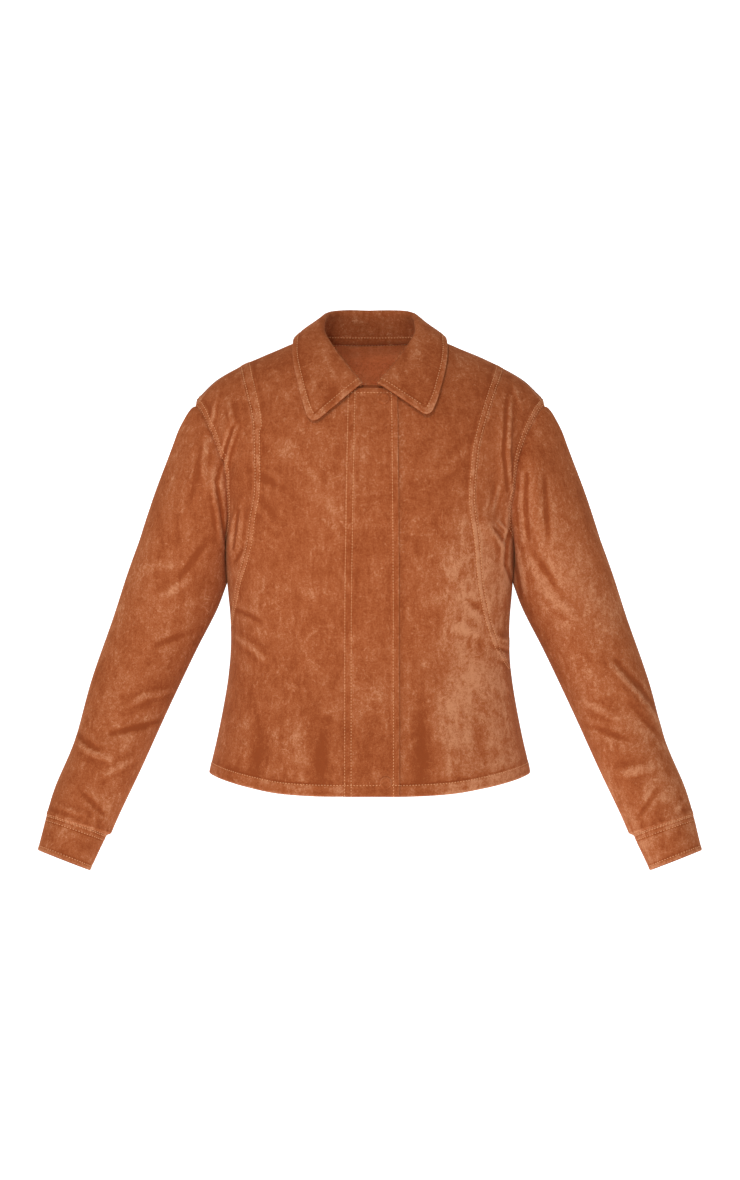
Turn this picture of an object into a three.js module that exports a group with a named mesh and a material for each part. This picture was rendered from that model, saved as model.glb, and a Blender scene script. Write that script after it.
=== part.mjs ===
// Suede jacket with a point collar and a covered front placket, filled out and hollow.
// Millimetres, +Z up, the front faces -Y, +X is to the right as the front is seen.
// The origin lies between the shoulders, level with the top of the shoulder line.
import * as THREE from "three";

// Thickness of the layers, and the gaps between sewn or overlapping pieces
const CLOTH = 1.6;
const PLACKET_CLOTH = 2.4;
const COLLAR_CLOTH = 2.6;
const CUFF_CLOTH = 2.2;
const FACING_CLOTH = 1.0;
const SEAM_GAP = 0.3;
const LAY_GAP = 0.45;
const HEAD_GAP = 0.4;

// Body form: level 0 is the chest, a negative level is millimetres below it,
// and SHOULDER_LEVEL is the shoulder seam, where front and back close on each other
const CHEST_Z = -200;
const SHOULDER_LEVEL = 200;
const SIDE_POWER = 2.3;
const CLOSING_POWER = { front: 2.2, back: 3.2 };
const BODY_RINGS = [
  { level: -345, half: 203.5, front: 131, back: 127 },
  { level: -325, half: 200.6, front: 129.5, back: 125 },
  { level: -287.5, half: 192, front: 126, back: 120 },
  { level: -250, half: 184.4, front: 120, back: 113 },
  { level: -212.5, half: 178, front: 115, back: 106 },
  { level: -175, half: 174.4, front: 112, back: 102 },
  { level: -137.5, half: 174.4, front: 113, back: 102 },
  { level: -100, half: 177, front: 117, back: 107 },
  { level: -50, half: 180.5, front: 121, back: 113 },
  { level: 0, half: 186, front: 123, back: 119 },
  { level: 25, half: 195, front: 122, back: 121 },
  { level: 70, half: 211, front: 117, back: 121 },
  { level: 100, half: 221, front: 111, back: 120 },
  { level: 150, half: 232, front: 106, back: 116 },
  { level: 200, half: 240, front: 103, back: 112 },
];

// Height of the shoulder line over each distance from the middle
const SHOULDER_LINE = [
  { x: 0, z: 22 },
  { x: 40, z: 20 },
  { x: 72, z: 14 },
  { x: 94, z: 8 },
  { x: 115.6, z: -1 },
  { x: 137, z: -10 },
  { x: 159, z: -20 },
  { x: 190.6, z: -38 },
  { x: 210.6, z: -57 },
  { x: 225.6, z: -75 },
  { x: 240, z: -98 },
];

// Neck opening and hem
const NECK_HALF = 72;
const NECK_TOP = 14;
const NECK_POWER = 2.2;
const NECK_FRONT_Z = -41;
const NAPE_Z = 8;
const HEM_FRONT_Z = -537.5;
const HEM_SIDE_Z = -533;
const HEM_BACK_Z = -537;

// Armhole, from the shoulder point down to the underarm on the side seam
const ARMHOLE = [
  { z: -70, x: 215 },
  { z: -90, x: 199 },
  { z: -112, x: 188.5 },
  { z: -135, x: 181 },
  { z: -162, x: 177 },
  { z: -200, x: 174 },
  { z: -225, x: 176.5 },
  { z: -237, x: 179.8 },
];
const UNDERARM_Z = -243;

// Curved front seams, from near the side seam up to the shoulder seam
const FRONT_SEAMS = {
  left: [
    { z: -343, x: 173.6 },
    { z: -322, x: 171.2 },
    { z: -302, x: 167 },
    { z: -281, x: 163 },
    { z: -257, x: 156 },
    { z: -231, x: 150 },
    { z: -201, x: 146.5 },
    { z: -171, x: 141.5 },
    { z: -99, x: 142 },
    { z: -77, x: 144.5 },
    { z: -21, x: 160 },
  ],
  right: [
    { z: -396, x: 175.4 },
    { z: -373, x: 164 },
    { z: -353, x: 155 },
    { z: -320, x: 147 },
    { z: -279, x: 139 },
    { z: -224, x: 134 },
    { z: -177, x: 127.5 },
    { z: -127, x: 131 },
    { z: -109, x: 134 },
    { z: -62, x: 149 },
    { z: -23.5, x: 165 },
  ],
};

// Front edges under the placket, and the placket itself
const FRONT_EDGE_X = -20;
const PLACKET_LEFT_X = -32;
const PLACKET_RIGHT_X = 36.5;
const PLACKET_TOP_Z = -46;
const FACING_INSET = 1;
const FACING_DROP = 11;
const SNAP_RADIUS = 7.8;
const SNAP_HEIGHT = 1.3;
const SNAPS = [
  { name: "snap_top", x: 16, z: -58 },
  { name: "snap_bottom", x: 19, z: -520 },
];

// Sleeve sections: outer and inner point as seen from the front, place of the middle in y, depth
const SLEEVE_SECTIONS = [
  { outerX: 287, outerZ: -237, innerX: 182, innerZ: -284, y: -8, depth: 112 },
  { outerX: 303, outerZ: -281, innerX: 193.5, innerZ: -324, y: -10, depth: 110 },
  { outerX: 321, outerZ: -336, innerX: 218, innerZ: -377, y: -14, depth: 106 },
  { outerX: 347, outerZ: -410, innerX: 252.5, innerZ: -449, y: -22, depth: 100 },
  { outerX: 367, outerZ: -483, innerX: 284, innerZ: -518, y: -37, depth: 93 },
  { outerX: 390, outerZ: -538, innerX: 309, innerZ: -570, y: -50, depth: 86 },
  { outerX: 401, outerZ: -573, innerX: 321, innerZ: -597, y: -58, depth: 79 },
];
const CUFF_SECTIONS = [
  { outerX: 401, outerZ: -574, innerX: 327, innerZ: -600, y: -58.5, depth: 75 },
  { outerX: 411, outerZ: -616, innerX: 347, innerZ: -641.5, y: -70, depth: 69 },
];
const SLEEVE_HEAD_BULGE = 9;
const UNDERARM_PUSH = 4;

// Collar sections from the nape round to the front end. seat: 0 nape, 1 top of the shoulder, 2 front end.
// edgeOver: levels from the shoulder seam to the collar's edge, down the back above 0 and the front below 0
const COLLAR_SECTIONS = [
  { seat: 0, rollX: 0, rollY: 63, rollZ: 43, edgeX: 0, edgeOver: 78 },
  { seat: 0.35, rollX: 29, rollY: 56, rollZ: 43, edgeX: 42, edgeOver: 75 },
  { seat: 0.7, rollX: 46, rollY: 35, rollZ: 41, edgeX: 76, edgeOver: 62 },
  { seat: 1, rollX: 52, rollY: 5, rollZ: 33, edgeX: 92, edgeOver: 12 },
  { seat: 1.3, rollX: 51, rollY: -27, rollZ: 18, edgeX: 94, edgeOver: -58 },
  { seat: 1.62, rollX: 33, rollY: -62, rollZ: -10, edgeX: 83, edgeOver: -103 },
  { seat: 2, rollX: 9, rollY: -86, rollZ: -37, edgeX: 69.5, edgeOver: -131 },
];
const COLLAR_END_X = 11;
const COLLAR_SEAT = 1.2;
const ROLL_RADIUS = 3.2;
const LEAF_LIFT = 5;
const LEAF_BULGE = 3;

// Largest folds, as ridges (high > 0) and troughs (high < 0) between two points seen from that face
const BODY_FOLDS = [
  { face: -1, x1: -160, z1: -96, x2: -182, z2: -172, wide: 9, high: -4 },
  { face: -1, x1: -170, z1: -64, x2: -174, z2: -128, wide: 9, high: 3.5 },
  { face: -1, x1: -160, z1: -180, x2: -171, z2: -262, wide: 9, high: 3 },
  { face: -1, x1: 163, z1: -70, x2: 167, z2: -168, wide: 9, high: 3.5 },
  { face: -1, x1: 152, z1: -150, x2: 165, z2: -250, wide: 9, high: -3 },
  { face: -1, x1: 140, z1: -205, x2: 166, z2: -245, wide: 8, high: 3 },
  { face: -1, x1: 150, z1: -345, x2: 172, z2: -372, wide: 9, high: 2.5 },
  { face: 1, x1: -150, z1: -90, x2: -166, z2: -190, wide: 11, high: 4 },
  { face: 1, x1: 148, z1: -84, x2: 163, z2: -200, wide: 11, high: 4 },
  { face: 1, x1: -120, z1: -330, x2: -160, z2: -372, wide: 11, high: 3 },
  { face: 1, x1: 104, z1: -350, x2: 158, z2: -392, wide: 11, high: 3 },
];
const SLEEVE_FOLDS = [
  { face: -1, x1: 296, z1: -390, x2: 362, z2: -474, wide: 9, high: 3 },
  { face: -1, x1: -262, z1: -446, x2: -330, z2: -470, wide: 9, high: -3 },
  { face: -1, x1: -196, z1: -96, x2: -214, z2: -168, wide: 11, high: 4 },
  { face: -1, x1: 200, z1: -120, x2: 206, z2: -236, wide: 11, high: 4 },
  { face: 1, x1: -262, z1: -425, x2: -322, z2: -450, wide: 10, high: 3.5 },
  { face: 1, x1: 262, z1: -440, x2: 326, z2: -462, wide: 10, high: 3.5 },
  { face: 1, x1: -214, z1: -130, x2: -222, z2: -240, wide: 12, high: 4 },
  { face: 1, x1: 212, z1: -124, x2: 226, z2: -246, wide: 12, high: 4 },
];

// Number of rows and columns of each wall
const ARMHOLE_ROWS = 11;
const ROW_CROWDING = 1.35;
const EDGE_FADE = 3;
const LOWER_SEAM_ROWS = 5;
const HEM_ROWS = 7;
const BACK_HEM_ROWS = 10;
const NECK_COLUMNS = 7;
const SHOULDER_COLUMNS = 7;
const SIDE_COLUMNS = 5;
const SLEEVE_HEAD_ROWS = 6;
const SLEEVE_ROWS = 12;
const CUFF_ROWS = 2;
const COLLAR_COLUMNS = 26;
const FACING_REACH = 5;
const PLACKET_ROWS = 20;
const PLACKET_COLUMNS = 4;
const SNAP_SIDES = 20;
const NECK_STEPS = 200;

const QUARTER = Math.PI / 2;

// Smooth value of one named column of a table, by cubic pieces through its rows
function tableValue(rows, key, column, at) {
  const rising = rows[rows.length - 1][key] > rows[0][key];
  const sorted = rising ? rows : [...rows].reverse();
  const last = sorted.length - 1;
  const inside = Math.min(Math.max(at, sorted[0][key]), sorted[last][key]);
  let i = 0;
  while (i < last - 1 && inside > sorted[i + 1][key]) i += 1;
  const slopeAt = (n) => {
    const before = sorted[Math.max(n - 1, 0)];
    const after = sorted[Math.min(n + 1, last)];
    return (after[column] - before[column]) / (after[key] - before[key]);
  };
  const width = sorted[i + 1][key] - sorted[i][key];
  const t = (inside - sorted[i][key]) / width;
  const start = sorted[i][column];
  const end = sorted[i + 1][column];
  const rise = slopeAt(i) * width;
  const fall = slopeAt(i + 1) * width;
  const bend = 2 * (start - end) + rise + fall;
  const lean = 3 * (end - start) - 2 * rise - fall;
  return start + t * (rise + t * (lean + t * bend));
}

const shoulderZ = (x) => tableValue(SHOULDER_LINE, "x", "z", Math.abs(x));
const signedPower = (value, power) => Math.sign(value) * Math.pow(Math.abs(value), power);

// Point of the body form: around runs from 0 at the middle to 1 at the side seam
function bodyPoint(face, around, level) {
  const turn = around * QUARTER;
  const half = tableValue(BODY_RINGS, "level", "half", level);
  const reach = tableValue(BODY_RINGS, "level", face, level);
  const x = half * signedPower(Math.sin(turn), 2 / SIDE_POWER);
  const closing = (Math.max(level, 0) / SHOULDER_LEVEL) * QUARTER;
  const power = 2 / CLOSING_POWER[face];
  const rise = (shoulderZ(x) - CHEST_Z) * Math.pow(Math.sin(closing), power);
  const round = Math.pow(Math.max(Math.cos(turn), 0), 2 / SIDE_POWER);
  const depth = reach * round * Math.pow(Math.max(Math.cos(closing), 0), power);
  const y = face === "front" ? -depth : depth;
  return new THREE.Vector3(x, y, CHEST_Z + (level < 0 ? level : rise));
}

// Place on the body form that is seen at x and z from that face
function bodyPlace(face, x, z) {
  const rise = z - CHEST_Z;
  const share = Math.min(Math.max(rise, 0) / (shoulderZ(x) - CHEST_Z), 1);
  const closing = Math.asin(Math.pow(share, CLOSING_POWER[face] / 2)) / QUARTER;
  return placeAt(x, rise <= 0 ? rise : closing * SHOULDER_LEVEL);
}

// Place on the body form over a distance from the middle, at a level
function placeAt(x, level) {
  const half = tableValue(BODY_RINGS, "level", "half", level);
  const sine = Math.pow(Math.min(Math.abs(x) / half, 1), SIDE_POWER / 2);
  return { around: (Math.sign(x) * Math.asin(sine)) / QUARTER, level };
}

// Outward direction of the body form at a place
function bodyNormal(face, place) {
  const step = 0.004;
  const left = Math.max(place.around - step, -1);
  const right = Math.min(place.around + step, 1);
  const low = place.level - step * SHOULDER_LEVEL;
  const high = Math.min(place.level + step * SHOULDER_LEVEL, SHOULDER_LEVEL);
  const across = bodyPoint(face, right, place.level).sub(bodyPoint(face, left, place.level));
  const along = bodyPoint(face, place.around, high).sub(bodyPoint(face, place.around, low));
  const normal = across.cross(along).normalize();
  return face === "front" ? normal : normal.negate();
}

// Height of the folds at a point seen from one face
function foldHeight(folds, face, x, z) {
  let height = 0;
  for (const fold of folds) {
    if (fold.face !== face) continue;
    const runX = fold.x2 - fold.x1;
    const runZ = fold.z2 - fold.z1;
    const share = ((x - fold.x1) * runX + (z - fold.z1) * runZ) / (runX * runX + runZ * runZ);
    const along = Math.min(Math.max(share, 0), 1);
    const away = Math.hypot(x - fold.x1 - along * runX, z - fold.z1 - along * runZ);
    const taper = 0.35 + 0.65 * Math.sin(along * Math.PI);
    height += fold.high * taper * Math.exp(-Math.pow(away / fold.wide, 2));
  }
  return height;
}

// Point off the body form: the folded surface moved out by lift
function offBody(face, place, lift) {
  const point = bodyPoint(face, place.around, place.level);
  const fold = foldHeight(BODY_FOLDS, face === "front" ? -1 : 1, point.x, point.z);
  const edgeFade = Math.min((1 - Math.abs(place.around)) * 12, 1);
  const shoulderFade = Math.min((SHOULDER_LEVEL - place.level) / 20, 1);
  const out = fold * edgeFade * shoulderFade + lift;
  const seam = face === "front" ? -SEAM_GAP / 2 : SEAM_GAP / 2;
  point.addScaledVector(bodyNormal(face, place), out);
  point.y += seam;
  return point;
}

// Closed geometry between an outer and an inner grid of points, round a tube if it closes
function wallGeometry(outer, inner, closesRound) {
  const rows = outer.length;
  const columns = outer[0].length;
  const layer = rows * columns;
  const points = [...outer.flat(), ...inner.flat()];
  const faces = [];
  const at = (row, column) => row * columns + (column % columns);
  const quad = (a, b, c, d) => faces.push([a, b, c], [a, c, d]);
  const spans = closesRound ? columns : columns - 1;
  for (let row = 0; row + 1 < rows; row += 1) {
    for (let column = 0; column < spans; column += 1) {
      const a = at(row, column);
      const b = at(row, column + 1);
      const c = at(row + 1, column + 1);
      const d = at(row + 1, column);
      quad(a, b, c, d);
      quad(layer + d, layer + c, layer + b, layer + a);
    }
  }
  for (let column = 0; column < spans; column += 1) {
    const low = [at(0, column), at(0, column + 1)];
    const high = [at(rows - 1, column), at(rows - 1, column + 1)];
    quad(low[0], layer + low[0], layer + low[1], low[1]);
    quad(high[1], layer + high[1], layer + high[0], high[0]);
  }
  for (let row = 0; row + 1 < rows && !closesRound; row += 1) {
    const first = [at(row, 0), at(row + 1, 0)];
    const last = [at(row, columns - 1), at(row + 1, columns - 1)];
    quad(first[1], layer + first[1], layer + first[0], first[0]);
    quad(last[0], layer + last[0], layer + last[1], last[1]);
  }
  let volume = 0;
  for (const [a, b, c] of faces) {
    volume += points[a].dot(new THREE.Vector3().crossVectors(points[b], points[c]));
  }
  const turned = volume < 0 ? faces.map(([a, b, c]) => [a, c, b]) : faces;
  const geometry = new THREE.BufferGeometry().setFromPoints(points);
  geometry.setIndex(turned.flat());
  geometry.computeVertexNormals();
  return geometry;
}

// Wall of cloth over a grid of places on the body form
function bodyWall(face, places, lift, thickness, side) {
  const mirror = (point) => point.setX(point.x * side);
  const offset = (place, out) => {
    const seen = { around: place.around * side, level: place.level };
    return mirror(mirror(offBody(face, seen, out)));
  };
  const outer = places.map((row) => row.map((place) => offset(place, lift)));
  const inner = places.map((row) => row.map((place) => offset(place, lift - thickness)));
  return wallGeometry(outer, inner, false);
}

// Grid of places between four edges. The bends of the top and bottom edges fade out quickly inside
function fillPlaces(left, right, bottom, top) {
  const rows = right.length - 1;
  const columns = bottom.length - 1;
  const rise = right[rows].level - right[0].level;
  const mix = (a, b, share) => a + (b - a) * share;
  return right.map((_, row) => {
    const v = (right[row].level - right[0].level) / rise;
    return bottom.map((_, column) => {
      const u = column / columns;
      const blend = (key) =>
        mix(left[row][key], right[row][key], u) +
        (bottom[column][key] - mix(left[0][key], right[0][key], u)) * (1 - v) ** EDGE_FADE +
        (top[column][key] - mix(left[rows][key], right[rows][key], u)) * v ** EDGE_FADE;
      return { around: blend("around"), level: blend("level") };
    });
  });
}

// Whole numbers from 0 to count, as shares of count
const shares = (count) => Array.from({ length: count + 1 }, (_, n) => n / count);

// Shares of the way up the armhole, closer together near the shoulder
const armholeShares = () => shares(ARMHOLE_ROWS).map((share) => 1 - Math.pow(1 - share, ROW_CROWDING));

// Places along the armhole, from the underarm up to the shoulder point
function armholePlaces(face) {
  const fine = [];
  for (const { z, x } of [...ARMHOLE].reverse()) fine.push(bodyPlace(face, x, z));
  const places = [{ around: 1, level: UNDERARM_Z - CHEST_Z }, ...fine];
  const points = places.map((place) => bodyPoint(face, place.around, place.level));
  const length = [0];
  for (let n = 1; n < points.length; n += 1) {
    length.push(length[n - 1] + points[n].distanceTo(points[n - 1]));
  }
  const rows = places.map((place, n) => ({ ...place, length: length[n] }));
  return armholeShares().map((share) => {
    const at = share * length[length.length - 1];
    return {
      around: tableValue(rows, "length", "around", at),
      level: tableValue(rows, "length", "level", at),
    };
  });
}

// Places up a curved front seam, from its lower end to the shoulder seam
function frontSeamPlaces(side) {
  const rows = FRONT_SEAMS[side];
  const low = rows[0].z;
  const high = rows[rows.length - 1].z;
  const heights = shares(LOWER_SEAM_ROWS).map((share) => low + share * (UNDERARM_Z - low));
  for (const share of armholeShares().slice(1)) {
    heights.push(UNDERARM_Z + share * (high - UNDERARM_Z));
  }
  return heights.map((z) => bodyPlace("front", tableValue(rows, "z", "x", z), z));
}

// Neckline place: share 0 in the middle, 1 where the neck meets the shoulder seam
function neckPlace(face, share) {
  const turn = share * QUARTER;
  const lowest = face === "front" ? NECK_FRONT_Z : NAPE_Z;
  const x = neckX(share);
  const climb = 1 - Math.pow(Math.max(Math.cos(turn), 0), 2 / NECK_POWER);
  const place = bodyPlace(face, x, lowest + (NECK_TOP - lowest) * climb);
  if (share === 1) place.level = SHOULDER_LEVEL;
  return place;
}

// Place on the shoulder seam over a distance from the middle
const shoulderPlace = (x) => placeAt(x, SHOULDER_LEVEL);

// Moves the places of one edge sideways by a length along x
const besideSeam = (places, shift) =>
  places.map(({ around, level }) => placeAt(bodyPoint("front", around, level).x + shift, level));

// Front between the front edge and the curved seam, down to the hem
function frontPanel(side) {
  const sign = side === "left" ? -1 : 1;
  const edgeX = sign * FRONT_EDGE_X + SEAM_GAP / 2;
  const seam = besideSeam(frontSeamPlaces(side), -SEAM_GAP / 2);
  const tip = { around: 1, level: seam[0].level - SEAM_GAP };
  const hemLevel = HEM_SIDE_Z - CHEST_Z;
  const right = shares(HEM_ROWS).map((share) => ({
    around: 1,
    level: hemLevel + share * (tip.level - hemLevel),
  }));
  right.push(...seam);
  const across = shares(NECK_COLUMNS + SHOULDER_COLUMNS);
  const frontEdge = bodyPlace("front", edgeX, HEM_FRONT_Z);
  const bottom = across.map((share) => ({
    around: frontEdge.around + share * (1 - frontEdge.around),
    level: frontEdge.level + share * share * (hemLevel - frontEdge.level),
  }));
  const neckStart = neckShare(Math.abs(edgeX));
  const neck = shares(NECK_COLUMNS).map((share) => {
    const start = edgeX > 0 ? neckStart : -neckStart;
    const at = start + share * (1 - start);
    const place = neckPlace("front", Math.abs(at));
    return { around: Math.sign(at) * place.around, level: place.level };
  });
  const seamTopX = FRONT_SEAMS[side][FRONT_SEAMS[side].length - 1].x - SEAM_GAP / 2;
  const shoulder = shares(SHOULDER_COLUMNS).slice(1).map((share) =>
    shoulderPlace(NECK_HALF + share * (seamTopX - NECK_HALF)),
  );
  const top = [...neck, ...shoulder];
  right[right.length - 1] = top[top.length - 1];
  const rise = right[right.length - 1].level - hemLevel;
  const left = right.map(({ level }) => {
    const share = (level - hemLevel) / rise;
    return placeAt(edgeX, bottom[0].level + share * (top[0].level - bottom[0].level));
  });
  top[0] = left[left.length - 1];
  return bodyWall("front", fillPlaces(left, right, bottom, top), 0, CLOTH, sign);
}

// Distance from the middle of a neckline place, and the share that lies at a distance
const neckX = (share) => NECK_HALF * Math.pow(Math.sin(share * QUARTER), 2 / NECK_POWER);
const neckShare = (x) => shares(NECK_STEPS).find((share) => neckX(share) >= x);

// Side of the front, between the curved seam and the armhole, ending in a point at the side seam
function sideFrontPanel(side) {
  const sign = side === "left" ? -1 : 1;
  const left = besideSeam(frontSeamPlaces(side), SEAM_GAP / 2);
  const low = left[0].level;
  const underarm = UNDERARM_Z - CHEST_Z;
  const right = shares(LOWER_SEAM_ROWS).map((share) => ({
    around: 1,
    level: low + share * (underarm - low),
  }));
  right.push(...armholePlaces("front").slice(1));
  const across = shares(SIDE_COLUMNS);
  const bottom = across.map((share) => ({
    around: left[0].around + share * (1 - left[0].around),
    level: low,
  }));
  const seamTopX = FRONT_SEAMS[side][FRONT_SEAMS[side].length - 1].x + SEAM_GAP / 2;
  const top = across.map((share) =>
    shoulderPlace(seamTopX + share * (ARMHOLE[0].x - seamTopX)),
  );
  left[left.length - 1] = top[0];
  right[right.length - 1] = top[SIDE_COLUMNS];
  return bodyWall("front", fillPlaces(left, right, bottom, top), 0, CLOTH, sign);
}

// Places of the whole back, from side seam to side seam
function backPlaces() {
  const hemLevel = HEM_SIDE_Z - CHEST_Z;
  const underarm = UNDERARM_Z - CHEST_Z;
  const right = shares(BACK_HEM_ROWS).map((share) => ({
    around: 1,
    level: hemLevel + share * (underarm - hemLevel),
  }));
  right.push(...armholePlaces("back").slice(1));
  right[right.length - 1] = shoulderPlace(ARMHOLE[0].x);
  const mirrored = (places) => places.map(({ around, level }) => ({ around: -around, level }));
  const neck = shares(NECK_COLUMNS + 1).map((share) => neckPlace("back", share));
  const shoulder = shares(SHOULDER_COLUMNS + 1).slice(1).map((share) =>
    shoulderPlace(NECK_HALF + share * (ARMHOLE[0].x - NECK_HALF)),
  );
  const half = [...neck, ...shoulder];
  const top = [...mirrored(half.slice(1)).reverse(), ...half];
  const bottom = top.map((_, n) => {
    const around = -1 + (2 * n) / (top.length - 1);
    return { around, level: hemLevel + (1 - around * around) * (HEM_BACK_Z - HEM_SIDE_Z) };
  });
  return fillPlaces(mirrored(right), right, bottom, top);
}

// Outward directions of a grid of points that closes round its columns or not
function gridNormals(grid, closesRound) {
  const rows = grid.length;
  const columns = grid[0].length;
  return grid.map((line, row) =>
    line.map((_, column) => {
      const before = closesRound ? (column + columns - 1) % columns : Math.max(column - 1, 0);
      const after = closesRound ? (column + 1) % columns : Math.min(column + 1, columns - 1);
      const across = line[after].clone().sub(line[before]);
      const above = grid[Math.min(row + 1, rows - 1)][column];
      const along = above.clone().sub(grid[Math.max(row - 1, 0)][column]);
      return across.cross(along).normalize();
    }),
  );
}

// Wall of a tube whose rings run the same way round: normals point out after the turn given
function tubeWall(rings, thickness, turn) {
  const normals = gridNormals(rings, true);
  const inner = rings.map((ring, row) =>
    ring.map((point, n) => point.clone().addScaledVector(normals[row][n], -thickness * turn)),
  );
  return wallGeometry(rings, inner, true);
}

// Edge of the armhole, from the shoulder point down the front and up the back, as if on the right
function armholeLoop(sign) {
  const down = (face) =>
    armholePlaces(face)
      .map(({ around, level }) => offBody(face, { around: around * sign, level }, 0))
      .map((point) => point.setX(point.x * sign))
      .reverse();
  const front = down("front");
  const back = down("back").reverse();
  return [...front, ...back.slice(1, -1)];
}

// Share of the way from the shoulder point to the underarm for each point of the loop
function loopTurns(loop) {
  const half = loop.length / 2;
  const measure = (points) => {
    const length = [0];
    for (let n = 1; n < points.length; n += 1) {
      length.push(length[n - 1] + points[n].distanceTo(points[n - 1]));
    }
    return length.map((value) => value / length[length.length - 1]);
  };
  const front = measure(loop.slice(0, half + 1));
  const back = measure([...loop.slice(half), loop[0]]);
  return loop.map((_, n) => (n <= half ? front[n] * Math.PI : (1 + back[n - half]) * Math.PI));
}

// Ring of a sleeve section, at the turns of the armhole loop
function sectionRing(section, axis, turns) {
  const outer = new THREE.Vector3(section.outerX, section.y, section.outerZ);
  const inner = new THREE.Vector3(section.innerX, section.y, section.innerZ);
  const middle = outer.clone().add(inner).multiplyScalar(0.5);
  const across = outer.clone().sub(inner).multiplyScalar(0.5);
  const deep = axis.clone().cross(across).normalize();
  if (deep.y > 0) deep.negate();
  deep.multiplyScalar(section.depth / 2);
  return turns.map((turn) =>
    middle.clone().addScaledVector(across, Math.cos(turn)).addScaledVector(deep, Math.sin(turn)),
  );
}

// Section between the rows of a section table
function sectionAt(sections, share) {
  const rows = sections.map((section, n) => ({ ...section, place: n }));
  const at = share * (sections.length - 1);
  const value = (column) => tableValue(rows, "place", column, at);
  return {
    outerX: value("outerX"),
    outerZ: value("outerZ"),
    innerX: value("innerX"),
    innerZ: value("innerZ"),
    y: value("y"),
    depth: value("depth"),
  };
}

const sectionMiddle = (section) =>
  new THREE.Vector3(
    (section.outerX + section.innerX) / 2,
    section.y,
    (section.outerZ + section.innerZ) / 2,
  );

// Direction in which a row of sections runs down the arm
function sectionAxis(sections, share) {
  const before = sectionMiddle(sectionAt(sections, Math.max(share - 0.05, 0)));
  const after = sectionMiddle(sectionAt(sections, Math.min(share + 0.05, 1)));
  return after.sub(before).normalize();
}

// Sleeve from just off the armhole to the cuff seam
function sleeve(side) {
  const sign = side === "left" ? -1 : 1;
  const loop = armholeLoop(sign);
  const turns = loopTurns(loop);
  const start = loop.map((point) => point.clone().setX(point.x + HEAD_GAP));
  const first = sectionRing(SLEEVE_SECTIONS[0], sectionAxis(SLEEVE_SECTIONS, 0), turns);
  const middle = new THREE.Vector3();
  start.forEach((point) => middle.addScaledVector(point, 1 / start.length));
  const rings = shares(SLEEVE_HEAD_ROWS).map((share) =>
    start.map((point, n) => {
      const centre = middle.clone().lerp(sectionMiddle(SLEEVE_SECTIONS[0]), share);
      const at = point.clone().lerp(first[n], share);
      const out = at.clone().sub(centre).normalize();
      const low = (1 - Math.cos(turns[n])) / 2;
      const swell = Math.sin(share * Math.PI);
      at.addScaledVector(out, SLEEVE_HEAD_BULGE * swell * (1 - low));
      return at.setX(at.x + UNDERARM_PUSH * swell * low);
    }),
  );
  for (const share of shares(SLEEVE_ROWS).slice(1)) {
    const section = sectionAt(SLEEVE_SECTIONS, share);
    rings.push(sectionRing(section, sectionAxis(SLEEVE_SECTIONS, share), turns));
  }
  const normals = gridNormals(rings, true);
  rings.forEach((ring, row) =>
    ring.forEach((point, n) => {
      const face = Math.sin(turns[n]) > 0 ? -1 : 1;
      const fold = foldHeight(SLEEVE_FOLDS, face, sign * point.x, point.z);
      const ends = Math.min(row / 2, (rings.length - 1 - row) / 2, 1);
      point.addScaledVector(normals[row][n], fold * ends * Math.abs(Math.sin(turns[n])));
    }),
  );
  rings.forEach((ring) => ring.forEach((point) => point.setX(point.x * sign)));
  return tubeWall(rings, CLOTH, sign);
}

// Cuff, a double band below the sleeve
function cuff(side) {
  const sign = side === "left" ? -1 : 1;
  const turns = loopTurns(armholeLoop(sign));
  const rings = shares(CUFF_ROWS).map((share) =>
    sectionRing(sectionAt(CUFF_SECTIONS, share), sectionAxis(CUFF_SECTIONS, share), turns),
  );
  rings.forEach((ring) => ring.forEach((point) => point.setX(point.x * sign)));
  return tubeWall(rings, CUFF_CLOTH, sign);
}

// Middle line of the collar's section, from the neck seam over the roll to the outer edge
function collarSection(share) {
  const sign = share < 0 ? -1 : 1;
  const rows = COLLAR_SECTIONS.map((section, n) => ({ ...section, place: n }));
  const at = Math.abs(share) * (rows.length - 1);
  const value = (column) => tableValue(rows, "place", column, at);
  const seat = value("seat");
  const roll = new THREE.Vector3(value("rollX"), value("rollY"), value("rollZ"));
  const over = value("edgeOver");
  const face = over > 0 ? "back" : "front";
  const edgePlace = placeAt(value("edgeX"), SHOULDER_LEVEL - Math.abs(over));
  const edge = bodyPoint(face, edgePlace.around, edgePlace.level);
  edge.addScaledVector(bodyNormal(face, edgePlace), LEAF_LIFT);
  const fall = edge.clone().sub(roll).normalize();
  const out = bodyNormal(face, edgePlace);
  out.addScaledVector(fall, -out.dot(fall)).normalize();
  const standTop = roll.clone().addScaledVector(out, -ROLL_RADIUS);
  const fallTop = roll.clone().addScaledVector(out, ROLL_RADIUS);
  const neck = collarSeat(seat, standTop);
  const apex = roll.clone().addScaledVector(fall, -ROLL_RADIUS * 0.9);
  const line = [
    neck,
    neck.clone().lerp(standTop, 0.5),
    standTop,
    apex,
    fallTop,
    fallTop.clone().lerp(edge, 0.3).addScaledVector(out, LEAF_BULGE * 0.9),
    fallTop.clone().lerp(edge, 0.65).addScaledVector(out, LEAF_BULGE),
    edge,
  ];
  return line.map((point) => point.setX(point.x * sign));
}

// Point of the neckline: seat 0 at the nape, 1 at the shoulder seam, 2 at the front end of the collar
function neckEdge(seat) {
  const face = seat < 1 ? "back" : "front";
  const endShare = neckShare(COLLAR_END_X);
  const place = neckPlace(face, seat < 1 ? Math.max(seat, 0) : 1 - (seat - 1) * (1 - endShare));
  return { normal: bodyNormal(face, place), point: bodyPoint(face, place.around, place.level) };
}

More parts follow.
